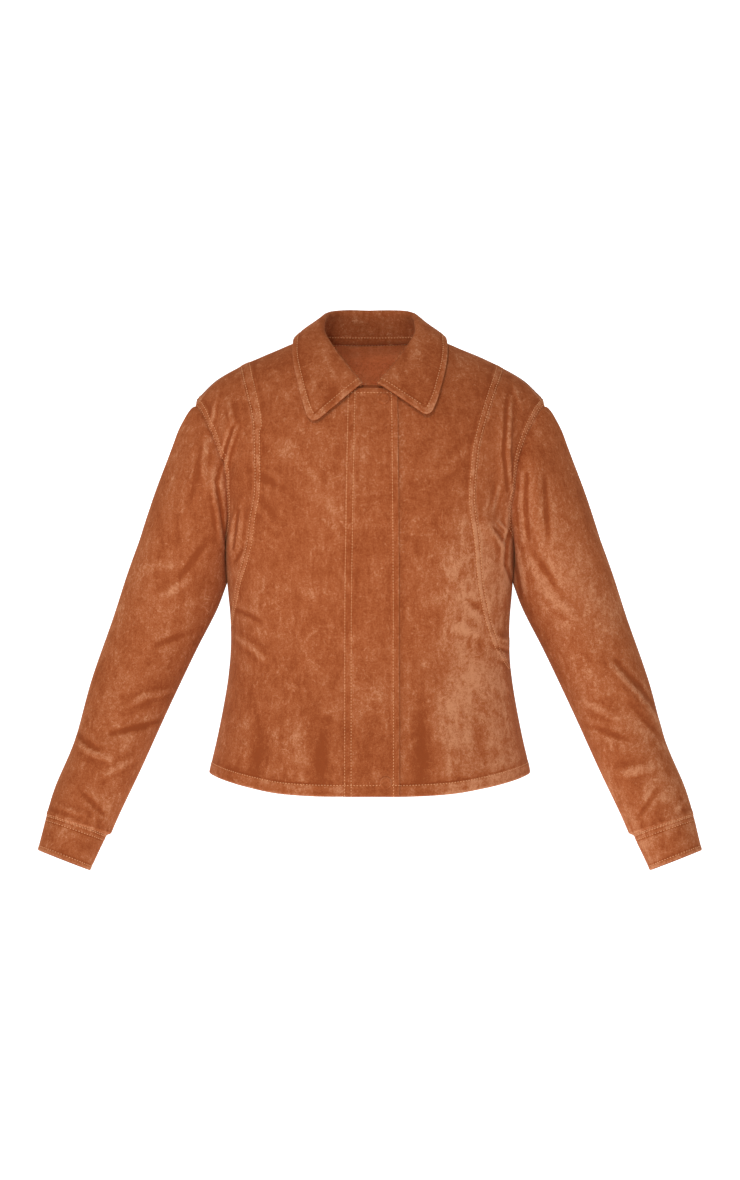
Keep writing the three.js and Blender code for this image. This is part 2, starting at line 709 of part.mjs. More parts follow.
// Foot of the collar's stand, just off the rim of the neckline and turned towards the stand's top
function collarSeat(seat, standTop) {
  const { normal, point } = neckEdge(seat);
  const step = 0.05;
  const run = neckEdge(Math.min(seat + step, 2)).point.sub(neckEdge(Math.max(seat - step, 0)).point);
  const onward = new THREE.Vector3().crossVectors(normal, run).normalize();
  const middle = point.addScaledVector(normal, -CLOTH / 2);
  const stand = standTop.clone().sub(middle).normalize();
  if (onward.dot(stand) < 0) onward.negate();
  const lean = Math.sqrt(Math.max(1 - stand.dot(onward) ** 2, 0));
  return middle.addScaledVector(onward, COLLAR_SEAT + (COLLAR_CLOTH / 2) * lean);
}

// Collar, one folded double layer
function collar() {
  const middle = shares(COLLAR_COLUMNS).map((share) => collarSection(2 * share - 1));
  const normals = gridNormals(middle, false);
  const shifted = (out) =>
    middle.map((line, row) =>
      line.map((point, n) => point.clone().addScaledVector(normals[row][n], out)),
    );
  return wallGeometry(shifted(COLLAR_CLOTH / 2), shifted(-COLLAR_CLOTH / 2), false);
}

// Placket, the covering band that lies on both fronts
function placket() {
  const lift = LAY_GAP + PLACKET_CLOTH;
  const places = shares(PLACKET_ROWS).map((up) => {
    const z = HEM_FRONT_Z + up * (PLACKET_TOP_Z - HEM_FRONT_Z);
    return shares(PLACKET_COLUMNS).map((share) =>
      bodyPlace("front", PLACKET_LEFT_X + share * (PLACKET_RIGHT_X - PLACKET_LEFT_X), z),
    );
  });
  return bodyWall("front", places, lift, PLACKET_CLOTH, 1);
}

// Strip that covers the neck seam inside the back, made from the top of the back's inner points
function neckFacing() {
  const places = backPlaces();
  const rows = [places.length - 2, places.length - 1];
  const middle = (places[0].length - 1) / 2;
  const inside = (lift) => {
    const [below, above] = rows.map((row) =>
      places[row].slice(middle - FACING_REACH, middle + FACING_REACH + 1).map((place) => offBody("back", place, lift)),
    );
    return [FACING_DROP, FACING_INSET].map((drop) =>
      above.map((point, n) => point.clone().lerp(below[n], drop / point.distanceTo(below[n]))),
    );
  };
  const outer = inside(-CLOTH - 2 * LAY_GAP);
  const inner = inside(-CLOTH - 2 * LAY_GAP - FACING_CLOTH);
  return wallGeometry(outer, inner, false);
}

// Snap cap: a low dome on the placket
function snapGeometry() {
  const profile = [
    new THREE.Vector2(0, 0),
    new THREE.Vector2(SNAP_RADIUS, 0),
    new THREE.Vector2(SNAP_RADIUS, SNAP_HEIGHT * 0.45),
    new THREE.Vector2(SNAP_RADIUS * 0.85, SNAP_HEIGHT * 0.85),
    new THREE.Vector2(SNAP_RADIUS * 0.5, SNAP_HEIGHT),
    new THREE.Vector2(0, SNAP_HEIGHT),
  ];
  return new THREE.LatheGeometry(profile, SNAP_SIDES);
}

const suede = new THREE.MeshStandardMaterial({ color: 0xa65e3b, roughness: 0.95, metalness: 0 });
const suedeDark = new THREE.MeshStandardMaterial({ color: 0x965233, roughness: 0.95, metalness: 0 });

function namedMesh(name, geometry, material) {
  geometry.deleteAttribute("uv");
  const mesh = new THREE.Mesh(geometry, material);
  mesh.name = name;
  return mesh;
}

const jacket = new THREE.Group();
jacket.add(namedMesh("back", bodyWall("back", backPlaces(), 0, CLOTH, 1), suede));
for (const side of ["left", "right"]) {
  jacket.add(namedMesh(`front_${side}`, frontPanel(side), suede));
  jacket.add(namedMesh(`side_front_${side}`, sideFrontPanel(side), suede));
  jacket.add(namedMesh(`sleeve_${side}`, sleeve(side), suede));
  jacket.add(namedMesh(`cuff_${side}`, cuff(side), suede));
}
jacket.add(namedMesh("collar", collar(), suede));
jacket.add(namedMesh("placket", placket(), suede));
jacket.add(namedMesh("neck_facing", neckFacing(), suedeDark));
for (const { name, x, z } of SNAPS) {
  const place = bodyPlace("front", x, z);
  const cap = namedMesh(name, snapGeometry(), suedeDark);
  const lift = 2 * LAY_GAP + PLACKET_CLOTH;
  cap.position.copy(offBody("front", place, lift));
  cap.quaternion.setFromUnitVectors(new THREE.Vector3(0, 1, 0), bodyNormal("front", place));
  jacket.add(cap);
}

export default jacket;
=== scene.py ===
"""Looks of the suede jacket: fine cloth shells, seams, stitches, snap caps, light and camera."""

import logging
import math
from collections.abc import Callable
from dataclasses import dataclass
from enum import Enum

import bpy
import numpy as np
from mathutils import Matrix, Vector

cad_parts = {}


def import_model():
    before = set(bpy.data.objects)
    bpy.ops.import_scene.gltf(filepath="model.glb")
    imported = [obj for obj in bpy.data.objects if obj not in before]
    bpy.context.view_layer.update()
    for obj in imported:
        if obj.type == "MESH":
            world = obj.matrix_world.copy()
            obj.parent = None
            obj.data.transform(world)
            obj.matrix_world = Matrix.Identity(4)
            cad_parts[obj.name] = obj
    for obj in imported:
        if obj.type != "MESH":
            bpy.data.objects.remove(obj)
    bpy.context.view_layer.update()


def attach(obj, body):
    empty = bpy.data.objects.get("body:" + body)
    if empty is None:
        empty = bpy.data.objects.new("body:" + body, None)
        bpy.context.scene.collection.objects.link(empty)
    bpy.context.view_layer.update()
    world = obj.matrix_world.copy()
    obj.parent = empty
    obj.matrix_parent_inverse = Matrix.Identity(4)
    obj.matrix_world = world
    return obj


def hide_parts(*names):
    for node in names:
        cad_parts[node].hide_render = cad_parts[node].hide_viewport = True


Array = np.ndarray
MM = 0.001
QUARTER = math.pi / 2
LOG = logging.getLogger("jacket")

CLOTH = 1.6
PLACKET_CLOTH = 2.4
COLLAR_CLOTH = 2.6
CUFF_CLOTH = 2.2
FACING_CLOTH = 1.0
LAY_GAP = 0.45

CHEST_Z = -200.0
SHOULDER_LEVEL = 200.0
SIDE_POWER = 2.3
NECK_HALF = 72.0
NECK_TOP = 14.0
NECK_POWER = 2.2
NECK_FRONT_Z = -41.0
NAPE_Z = 8.0
HEM_FRONT_Z = -537.5
HEM_SIDE_Z = -529.5
HEM_BACK_Z = -537.0
# Front hem: share of the way from the front edge to the side seam, height
FRONT_HEM = [
    (0, -537.5),
    (0.15, -537.8),
    (0.32, -536.4),
    (0.5, -532.4),
    (0.66, -529),
    (0.82, -527.6),
    (1, -529.5),
]
UNDERARM_Z = -243.0
FRONT_EDGE_X = -20.0
COLLAR_END_X = 11.0
EDGE_FADE = 3
# Share of the crease heights that colours the suede: crease ridges lighter as rubbed nap, crease troughs
# darker as painted shade.
CREASE_RUB_AND_SHADE = 0.8


class Face(Enum):
    """Face of the body form: where it looks along Y, and how it closes on the shoulder seam."""

    FRONT = (-1, 2.2)
    BACK = (1, 3.2)

    @property
    def toward(self) -> int:
        """Direction of the face along Y."""
        return self.value[0]

    @property
    def closing_power(self) -> float:
        """Power of the curve that closes the face on the shoulder seam."""
        return self.value[1]


class Side(Enum):
    """Side of the jacket as the front is seen."""

    LEFT = -1
    RIGHT = 1

    @property
    def word(self) -> str:
        """Ending of the names of this side's pieces."""
        return self.name.lower()


class Curve:
    """Smooth values through the rows of a table, by cubic pieces."""

    def __init__(self, keys: list[float], values: list[float]) -> None:
        """Keeps the rows in rising order with their slopes.

        Args:
            keys: positions of the rows.
            values: values at the rows.
        """
        order = np.argsort(keys)
        self.keys = np.array(keys, float)[order]
        self.values = np.array(values, float)[order]
        before = np.maximum(np.arange(len(keys)) - 1, 0)
        after = np.minimum(np.arange(len(keys)) + 1, len(keys) - 1)
        self.slopes = (self.values[after] - self.values[before]) / (self.keys[after] - self.keys[before])

    def __call__(self, at: Array | float) -> Array:
        """Gives the values at some positions, held at both ends.

        Args:
            at: positions to read.

        Returns:
            One value for each position.
        """
        inside = np.clip(at, self.keys[0], self.keys[-1])
        row = np.clip(np.searchsorted(self.keys, inside, side="left") - 1, 0, len(self.keys) - 2)
        width = self.keys[row + 1] - self.keys[row]
        t = (inside - self.keys[row]) / width
        start, end = self.values[row], self.values[row + 1]
        rise, fall = self.slopes[row] * width, self.slopes[row + 1] * width
        bend = 2 * (start - end) + rise + fall
        lean = 3 * (end - start) - 2 * rise - fall
        return start + t * (rise + t * (lean + t * bend))


def table(rows: list[tuple[float, ...]], column: int) -> Curve:
    """Curve of one column of a table whose first column is the key."""
    return Curve([row[0] for row in rows], [row[column] for row in rows])


BODY_RINGS = [
    (-345, 203.5, 131, 127),
    (-325, 200.6, 129.5, 125),
    (-287.5, 192, 126, 120),
    (-250, 184.4, 120, 113),
    (-212.5, 178, 115, 106),
    (-175, 174.4, 112, 102),
    (-137.5, 174.4, 113, 102),
    (-100, 177, 117, 107),
    (-50, 180.5, 121, 113),
    (0, 186, 123, 119),
    (25, 195, 122, 121),
    (70, 211, 117, 121),
    (100, 221, 111, 120),
    (150, 232, 106, 116),
    (200, 240, 103, 112),
]
SHOULDER_LINE = [
    (0, 22),
    (40, 20),
    (72, 14),
    (94, 8),
    (115.6, -1),
    (137, -10),
    (159, -20),
    (190.6, -38),
    (210.6, -57),
    (225.6, -75),
    (240, -98),
]
ARMHOLE = [
    (-70, 215),
    (-90, 199),
    (-112, 188.5),
    (-135, 181),
    (-162, 177),
    (-200, 174),
    (-225, 176.5),
    (-237, 179.8),
]
FRONT_SEAMS = {
    Side.LEFT: [
        (-343, 173.6),
        (-322, 171.2),
        (-302, 167),
        (-281, 163),
        (-257, 156),
        (-231, 150),
        (-201, 146.5),
        (-171, 141.5),
        (-99, 142),
        (-77, 144.5),
        (-21, 160),
    ],
    Side.RIGHT: [
        (-396, 175.4),
        (-373, 164),
        (-353, 155),
        (-320, 147),
        (-279, 139),
        (-224, 134),
        (-177, 127.5),
        (-127, 131),
        (-109, 134),
        (-62, 149),
        (-23.5, 165),
    ],
}
# Sleeve sections: outer x and z, inner x and z, place of the middle in y, depth
SLEEVE_SECTIONS = [
    (287, -237, 177.7, -290, -8, 114),
    (303, -281, 191.3, -325, -10, 110),
    (321, -336, 218, -377, -14, 106),
    (347, -410, 252.5, -449, -22, 100),
    (367, -483, 284, -518, -37, 93),
    (390, -538, 309, -570, -50, 86),
    (401, -573, 321, -597, -58, 79),
]
CUFF_SECTIONS = [
    (401, -574, 327, -600, -58.5, 75),
    (411, -616, 347, -641.5, -70, 69),
]
# Collar sections: seat, roll x y z, edge x, levels from the shoulder seam to the edge
COLLAR_SECTIONS = [
    (0, 0, 63, 43, 0, 78),
    (0.35, 33, 56, 43.4, 42, 75),
    (0.7, 52.5, 36, 41, 75, 62),
    (1, 58, 5, 33.5, 89.5, 12),
    (1.3, 57, -25, 17, 93, -58),
    (1.62, 36.5, -60, -12, 83.5, -106),
    (2, 11, -87.2, -41.5, 71, -134.5),
]
COLLAR_SEAT = 0.5
WIDE_ROW_Z = 93.0
WIDE_ROW = 3.6
ROLL_RADIUS = 3.2
LEAF_LIFT = 5.0
LEAF_BULGE = 2.0
# Sleeve head: share of the way from the armhole, height of the swell on the outer side
SLEEVE_HEAD = [
    (0, 0),
    (0.03, 4.2),
    (0.08, 7.6),
    (0.13, 9.3),
    (0.24, 10.8),
    (0.34, 9.2),
    (0.45, 7.8),
    (0.65, 5.7),
    (0.85, 2.6),
    (1, 0),
]
UNDERARM_PUSH = -1.3
HEAD_ROWS = 6
SLEEVE_ROWS = 12


@dataclass(frozen=True)
class Fold:
    """Soft ridge (high above 0) or trough along a path seen from one face."""

    face: int
    path: tuple[float, ...]
    wide: float
    high: float

    def height(self, x: Array, z: Array) -> Array:
        """Height of the fold at points seen from its face.

        Args:
            x: distances to the right.
            z: heights.

        Returns:
            Height in millimetres at each point.
        """
        corners = np.reshape(self.path, (-1, 2))
        length = run(corners)
        away = np.full(np.shape(x), np.inf)
        share = np.zeros(np.shape(x))
        for first, last, before in zip(corners[:-1], corners[1:], length):
            step_x, step_z = last - first
            reach = math.hypot(step_x, step_z)
            along = np.clip(((x - first[0]) * step_x + (z - first[1]) * step_z) / reach**2, 0, 1)
            far = np.hypot(x - first[0] - along * step_x, z - first[1] - along * step_z)
            share = np.where(far < away, (before + along * reach) / length[-1], share)
            away = np.minimum(far, away)
        taper = 0.35 + 0.65 * np.sin(share * math.pi)
        return self.high * taper * np.exp(-((away / self.wide) ** 2))


def folds(rows: list[tuple[float, ...]]) -> tuple[Fold, ...]:
    """Folds of a table: face, x and z of each corner of the path, wide, high."""
    return tuple(Fold(row[0], row[1:-2], row[-2], row[-1]) for row in rows)


# Largest folds of the body, then its finer creases
BODY_FOLDS = folds([
    (-1, -160, -96, -182, -172, 9, -4),
    (-1, -170, -64, -174, -128, 9, 3.5),
    (-1, -160, -180, -171, -262, 9, 3),
    (-1, 163, -70, 167, -168, 9, 3.5),
    (-1, 152, -150, 165, -250, 9, -3),
    (-1, 140, -205, 166, -245, 8, 3),
    (-1, 150, -345, 172, -372, 9, 2.5),
    (1, -150, -90, -166, -190, 11, 4),
    (1, 148, -84, 163, -200, 11, 4),
    (1, -120, -330, -160, -372, 11, 3),
    (1, 104, -350, 158, -392, 11, 3),
])
BODY_CREASES = folds([
    (-1, -166, -92, -174, -114, -186, -158, 2.0, -2.8),
    (-1, -161.5, -92, -169.5, -114, -181, -156, 2.6, 1.5),
    (-1, -187, -52, -197, -104, 3.0, 1.4),
    (-1, -172, -62, -166, -96, 2.8, 1.2),
    (-1, -160, -194, -163, -214, -167, -242, 1.8, -2.2),
    (-1, -155.5, -196, -158, -216, -163, -242, 2.4, 1.0),
    (-1, -164.5, -198, -168, -216, -171, -250, 2.2, 1.2),
    (-1, -151, -236, -168, -262, 3.0, -0.9),
    (-1, -150, -140, -104, -166, 6.0, -0.6),
    (-1, -146, -176, -116, -212, 5.5, 0.6),
    (-1, -170, -318, -150, -322, -132, -330, 3.6, -0.9),
    (-1, -168, -352, -146, -362, -128, -378, 4.4, 1.0),
    (-1, -132, -430, -138, -528, 16, -1.8),
    (-1, -92, -405, -88, -530, 15, 1.4),
    (-1, -56, -450, -60, -530, 12, -0.8),
    (-1, 173, -184, 173, -218, 168, -236, 167, -262, 176, -288, 2.0, -2.8),
    (-1, 168.5, -188, 168, -220, 163, -240, 162.5, -266, 2.6, 1.3),
    (-1, 155, -206, 169, -222, 2.2, 1.5),
    (-1, 150, -214, 170, -236, 2.2, -1.6),
    (-1, 153, -224, 168, -248, 2.2, 1.1),
    (-1, 172, -58, 168, -124, 173, -172, 2.6, 1.7),
    (-1, 166, -62, 162, -124, 167, -170, 2.6, -1.3),
    (-1, 158, -160, 150, -196, 3.0, 0.8),
    (-1, 156, -352, 171, -360, 2.6, 1.3),
    (-1, 152, -362, 172, -374, 2.6, -1.4),
    (-1, 158, -376, 173, -384, 2.6, 1.1),
    (-1, 120, -300, 150, -330, 5.0, -0.7),
    (-1, 96, -330, 148, -352, 7.0, 0.7),
    (-1, 132, -420, 142, -528, 16, -1.6),
    (-1, 92, -440, 98, -530, 14, 1.3),
    (-1, 62, -420, 60, -530, 12, -0.8),
    (-1, 116, -116, 84, -150, 6.0, 0.6),
    (-1, 176, -40, 186, -72, 4.0, 0.9),
    (-1, -206, -44, -212, -66, 3.6, 0.8),
    (1, -132, -70, -156, -150, 5.0, -1.6),
    (1, 130, -76, 152, -156, 5.0, -1.6),
    (1, -158, -150, -168, -236, 5.0, 1.3),
    (1, 154, -160, 166, -240, 5.0, 1.3),
    (1, -100, -40, -140, -96, 12, 1.2),
    (1, 96, -44, 136, -102, 12, 1.1),
    (1, -60, -128, 52, -134, 15, 1.0),
    (1, -146, -306, -92, -322, 7.0, -1.2),
    (1, 150, -318, 86, -336, 7.0, -1.2),
    (1, -40, -348, 44, -342, 14, -0.9),
    (1, -150, -356, -108, -378, 7.0, 1.1),
    (1, 152, -374, 118, -396, 7.0, 1.0),
    (1, -118, -400, -126, -530, 21, -2.4),
    (1, -66, -420, -70, -530, 18, 1.9),
    (1, -8, -410, -6, -530, 20, -1.5),
    (1, 58, -420, 62, -530, 18, 1.8),
    (1, 112, -400, 120, -530, 21, -2.3),
])
# Largest folds of the sleeves, then their finer creases
SLEEVE_FOLDS = folds([
    (-1, 296, -390, 362, -474, 9, 3),
    (-1, -262, -446, -330, -470, 9, -3),
    (-1, -196, -96, -214, -168, 11, 4),
    (-1, 200, -120, 206, -236, 11, 4),
    (1, -262, -425, -322, -450, 10, 3.5),
    (1, 262, -440, 326, -462, 10, 3.5),
    (1, -214, -130, -222, -240, 12, 4),
    (1, 212, -124, 226, -246, 12, 4),
])
SLEEVE_CREASES = folds([
    (-1, -178, -128, -187, -160, -181, -195, -177, -240, 2.4, -2.6),
    (-1, -192, -150, -191.5, -166, -186, -198, -183, -240, 2.8, 1.4),
    (-1, -197, -98, -203, -134, -199, -176, 3.4, 1.2),
    (-1, -204, -118, -219, -186, 4.0, -0.9),
    (-1, -200, -232, -232, -276, 5.0, -0.9),
    (-1, -214, -276, -262, -306, 7.0, 0.9),
    (-1, -222, -346, -262, -360, 5.0, -0.8),
    (-1, -246, -420, -276, -424, -300, -436, 4.0, 1.3),
    (-1, -258, -458, -318, -468, 3.6, -1.2),
    (-1, -368, -470, -352, -480, -334, -488, 2.6, -1.7),
    (-1, -366, -478, -346, -490, -318, -500, 3.4, 1.2),
    (-1, -286, -498, -330, -520, 5.0, 0.9),
    (-1, -350, -566, -388, -556, 4.0, 0.9),
    (-1, -322, -572, -352, -540, 4.0, -0.9),
    (-1, 175, -244, 188, -306, 2.4, -1.8),
    (-1, 181, -240, 194, -300, 3.0, 1.1),
    (-1, 212, -150, 218, -232, 4.0, -1.0),
    (-1, 186, -150, 184, -190, 188, -236, 3.0, 1.5),
    (-1, 191, -150, 190, -190, 194, -230, 2.8, -1.2),
    (-1, 200, -246, 230, -292, 5.0, -0.9),
    (-1, 218, -300, 258, -330, 7.0, 0.9),
    (-1, 296, -386, 328, -420, 364, -470, 2.6, 1.7),
    (-1, 300, -378, 334, -414, 368, -464, 3.0, -1.2),
    (-1, 318, -430, 366, -486, 3.6, -0.9),
    (-1, 262, -430, 306, -452, 4.6, 1.1),
    (-1, 270, -462, 316, -476, 4.0, -0.9),
    (-1, 300, -520, 352, -506, 6.0, 0.9),
    (-1, 330, -570, 352, -536, 4.0, -0.9),
    (-1, 372, -566, 392, -548, 4.0, 0.8),
    (1, -232, -150, -240, -232, 6.0, -1.8),
    (1, 230, -144, 244, -236, 6.0, -1.8),
    (1, -250, -400, -312, -420, 6.0, -1.6),
    (1, 250, -412, 316, -432, 6.0, -1.6),
    (1, -276, -466, -330, -482, 6.0, 1.3),
    (1, 280, -480, 338, -496, 6.0, 1.3),
    (1, -330, -550, -372, -536, 6.0, 0.9),
    (1, 334, -556, 376, -540, 6.0, 0.9),
])


def total(parts: tuple[Fold, ...], face: int, x: Array, z: Array) -> Array:
    """Summed height of the folds that lie on one face."""
    heights = [fold.height(x, z) for fold in parts if fold.face == face]
    return np.sum(heights, axis=0)


def waves(seed: int, x: Array, z: Array, length: float, high: float) -> Array:
    """Slow uneven swell of the cloth, mostly running down it.

    Args:
        seed: start of the random directions.
        x: distances to the right.
        z: heights.
        length: middle wavelength in millimetres.
        high: height of the swell in millimetres.

    Returns:
        Height in millimetres at each point.
    """
    picks = np.random.default_rng(seed)
    height = np.zeros(np.shape(x))
    count = 9
    for _ in range(count):
        tilt = picks.uniform(-0.9, 0.9)
        wave = length * picks.uniform(0.6, 1.7)
        phase = picks.uniform(0, 2 * math.pi)
        height += np.sin(2 * math.pi * (x * math.cos(tilt) + z * math.sin(tilt)) / wave + phase)
    return height * high / math.sqrt(count)


def unit(vectors: Array) -> Array:
    """Vectors of length 1 with the same directions."""
    return vectors / np.maximum(np.linalg.norm(vectors, axis=-1, keepdims=True), 1e-12)


def run(points: Array) -> Array:
    """Distance travelled along a line of points."""
    steps = np.linalg.norm(np.diff(points, axis=0), axis=-1)
    return np.concatenate([[0.0], np.cumsum(steps)])


def spaced(length: float, step: float, start: bool = True, end: bool = True) -> Array:
    """Positions along a length, close together near its finished edges.

    Args:
        length: whole length.
        step: even spacing away from the edges.
        start: whether the first end is a finished edge.
        end: whether the last end is a finished edge.

    Returns:
        Rising positions from 0 to the length.
    """
    fine = np.array([0.0, 0.3, 0.7, 1.2, 1.9, 2.8, 4.0, 5.6, 7.4, 9.4, 11.6])
    low = fine if start else np.array([0.0])
    high = length - fine[::-1] if end else np.array([length])
    count = max(int((high[0] - low[-1]) / step), 2)
    middle = np.linspace(low[-1], high[0], count + 1)[1:-1]
    return np.concatenate([low, middle, high])


def landed(positions: Array, *marks: float) -> Array:
    """Positions with the one nearest to each mark moved onto it."""
    for mark in marks:
        positions[np.abs(positions - mark).argmin()] = mark
    return positions


class BodyForm:
    """Form of the filled-out body: a place on it is (around, level)."""

    def __init__(self) -> None:
        """Reads the tables of the form."""
        self.half = table(BODY_RINGS, 1)
        self.reach = {Face.FRONT: table(BODY_RINGS, 2), Face.BACK: table(BODY_RINGS, 3)}
        self.shoulder = table(SHOULDER_LINE, 1)

    def point(self, face: Face, around: Array, level: Array) -> Array:
        """Points of the form.

        Args:
            face: front or back.
            around: 0 in the middle, 1 and -1 at the side seams.
            level: 0 at the chest, below 0 in millimetres, 200 at the shoulder seam.

        Returns:
            Points with x, y and z on the last axis.
        """
        turn = around * QUARTER
        sine = np.sin(turn)
        x = self.half(level) * np.sign(sine) * np.abs(sine) ** (2 / SIDE_POWER)
        closing = np.maximum(level, 0) / SHOULDER_LEVEL * QUARTER
        power = 2 / face.closing_power
        rise = (self.shoulder(np.abs(x)) - CHEST_Z) * np.sin(closing) ** power
        across = np.maximum(np.cos(turn), 0) ** (2 / SIDE_POWER)
        depth = self.reach[face](level) * across * np.maximum(np.cos(closing), 0) ** power
        z = CHEST_Z + np.where(level < 0, level, rise)
        return np.stack([x, face.toward * depth, z], axis=-1)

    def around_at(self, x: Array, level: Array) -> Array:
        """Around values over distances from the middle, at levels."""
        share = np.minimum(np.abs(x) / self.half(level), 1)
        return np.sign(x) * np.arcsin(share ** (SIDE_POWER / 2)) / QUARTER

    def place(self, face: Face, x: Array, z: Array) -> Array:
        """Places seen at x and z from a face, as (around, level) on the last axis."""
        x, z = np.broadcast_arrays(np.asarray(x, float), np.asarray(z, float))
        rise = z - CHEST_Z
        share = np.minimum(np.maximum(rise, 0) / (self.shoulder(np.abs(x)) - CHEST_Z), 1)
        closing = np.arcsin(share ** (face.closing_power / 2)) / QUARTER
        level = np.where(rise <= 0, rise, closing * SHOULDER_LEVEL)
        return np.stack([self.around_at(x, level), level], axis=-1)

    def normal(self, face: Face, places: Array) -> Array:
        """Outward directions of the form at places."""
        step = 0.004
        around, level = places[..., 0], places[..., 1]
        left, right = np.maximum(around - step, -1), np.minimum(around + step, 1)
        low = level - step * SHOULDER_LEVEL
        high = np.minimum(level + step * SHOULDER_LEVEL, SHOULDER_LEVEL)
        across = self.point(face, right, level) - self.point(face, left, level)
        along = self.point(face, around, high) - self.point(face, around, low)
        return -face.toward * unit(np.cross(across, along))

    def cloth(self, face: Face, places: Array, lift: float = 0.0) -> Array:
        """Points of the folded cloth, moved out by a lift.

        Args:
            face: front or back.
            places: (around, level) on the last axis.
            lift: distance out from the cloth's outside.

        Returns:
            Points with x, y and z on the last axis.
        """
        around, level = places[..., 0], places[..., 1]
        points = self.point(face, around, level)
        x, z = points[..., 0], points[..., 2]
        fold = total(BODY_FOLDS, face.toward, x, z) + total(BODY_CREASES, face.toward, x, z)
        fold = fold + waves(3 + face.toward, x, z, 95.0, 0.75)
        edge = np.minimum((1 - np.abs(around)) * 12, 1)
        shoulder = np.minimum((SHOULDER_LEVEL - level) / 20, 1)
        return points + self.normal(face, places) * (fold * edge * shoulder + lift)[..., None]

    def even(self, face: Face, places: Array, positions: Array | int) -> Array:
        """Places along a line of places, by distance.

        Args:
            face: face that the line lies on.
            places: line of places, close together.
            positions: shares of the length, or a number of even steps.

        Returns:
            Places at those shares.
        """
        length = run(self.point(face, places[:, 0], places[:, 1]))
        shares = np.linspace(0, 1, positions + 1) if isinstance(positions, int) else positions
        at = shares * length[-1]
        return np.stack([np.interp(at, length, places[:, n]) for n in (0, 1)], axis=-1)

    def neck_x(self, share: Array) -> Array:
        """Distance from the middle of a share of the neckline."""
        return NECK_HALF * np.sin(share * QUARTER) ** (2 / NECK_POWER)

    def neck(self, face: Face, share: Array) -> Array:
        """Places of the neckline: share 0 in the middle, 1 at the shoulder seam."""
        lowest = NECK_FRONT_Z if face is Face.FRONT else NAPE_Z
        climb = 1 - np.maximum(np.cos(share * QUARTER), 0) ** (2 / NECK_POWER)
        places = self.place(face, self.neck_x(share), lowest + (NECK_TOP - lowest) * climb)
        places[..., 1] = np.where(share >= 1, SHOULDER_LEVEL, places[..., 1])
        places[..., 0] = np.where(share >= 1, self.around_at(NECK_HALF, SHOULDER_LEVEL), places[..., 0])
        return places

    def neck_share(self, x: float) -> float:
        """Share of the neckline at a distance from the middle."""
        shares = np.linspace(0, 1, 4001)
        return float(np.interp(x, self.neck_x(shares), shares))

    def shoulder_places(self, x: Array) -> Array:
        """Places on the shoulder seam over distances from the middle."""
        level = np.full(np.shape(x), SHOULDER_LEVEL)
        return np.stack([self.around_at(x, level), level], axis=-1)

    def armhole(self, face: Face, steps: int) -> Array:
        """Places along the armhole, evenly from the underarm up to the shoulder point."""
        rows = self.place(face, np.array([x for _, x in ARMHOLE]), np.array([z for z, _ in ARMHOLE]))[::-1]
        rows = np.concatenate([[[1.0, UNDERARM_Z - CHEST_Z]], rows])
        length = run(self.point(face, rows[:, 0], rows[:, 1]))
        at = np.linspace(0, length[-1], steps + 1)
        return np.stack([Curve(list(length), list(rows[:, n]))(at) for n in (0, 1)], axis=-1)

    def seam(self, side: Side) -> Array:
        """Places up a curved front seam, close together, from its lower end to the shoulder."""
        rows = FRONT_SEAMS[side]
        share = 1 - (1 - np.linspace(0, 1, 900)) ** 1.6
        z = rows[0][0] + (rows[-1][0] - rows[0][0]) * share
        return self.place(Face.FRONT, table(rows, 1)(z), z)


BODY = BodyForm()


@dataclass
class Sheet:
    """Fine grid of points on the outside of a wall of cloth."""

    points: Array
    out: Array
    closes: bool = False

    @classmethod
    def over(cls, points: Array, out: Array | None = None, closes: bool = False) -> "Sheet":
        """Sheet over a grid of points, with directions worked out from the grid.

        Args:
            points: grid of rows and columns.
            out: rough outward directions that settle which way is out, or one direction.
            closes: whether the columns close round a tube.

        Returns:
            The sheet.
        """
        if closes:
            across = np.roll(points, -1, axis=1) - np.roll(points, 1, axis=1)
        else:
            across = np.gradient(points, axis=1)
        normals = unit(np.cross(across, np.gradient(points, axis=0)))
        if out is not None:
            normals = normals * np.sign(np.sum(normals * out) or 1.0)
        return cls(points, normals, closes)

    def moved(self, heights: Array | float) -> Array:
        """Points moved out by heights."""
        return self.points + self.out * np.broadcast_to(heights, self.points.shape[:2])[..., None]

    def raised(self, heights: Array) -> "Sheet":
        """Sheet with its points moved out, and its directions worked out again."""
        return Sheet.over(self.moved(heights), self.out, self.closes)

    def from_columns(self) -> tuple[Array, Array]:
        """Distances along each row from its first and from its last column."""
        steps = np.linalg.norm(np.diff(self.points, axis=1), axis=-1)
        first = np.concatenate([np.zeros((len(steps), 1)), np.cumsum(steps, axis=1)], axis=1)
        return first, first[:, -1:] - first

    def from_rows(self) -> tuple[Array, Array]:
        """Distances along each column from its first and from its last row."""
        steps = np.linalg.norm(np.diff(self.points, axis=0), axis=-1)
        first = np.concatenate([np.zeros((1, steps.shape[1])), np.cumsum(steps, axis=0)])
        return first, first[-1:] - first

    def area(self) -> float:
        """Area of the sheet in square metres."""
        grid = np.concatenate([self.points, self.points[:, :1]], axis=1) if self.closes else self.points
        a, b, c, d = grid[:-1, :-1], grid[:-1, 1:], grid[1:, 1:], grid[1:, :-1]
        return float(np.linalg.norm(np.cross(c - a, d - b), axis=-1).sum() / 2) * MM * MM


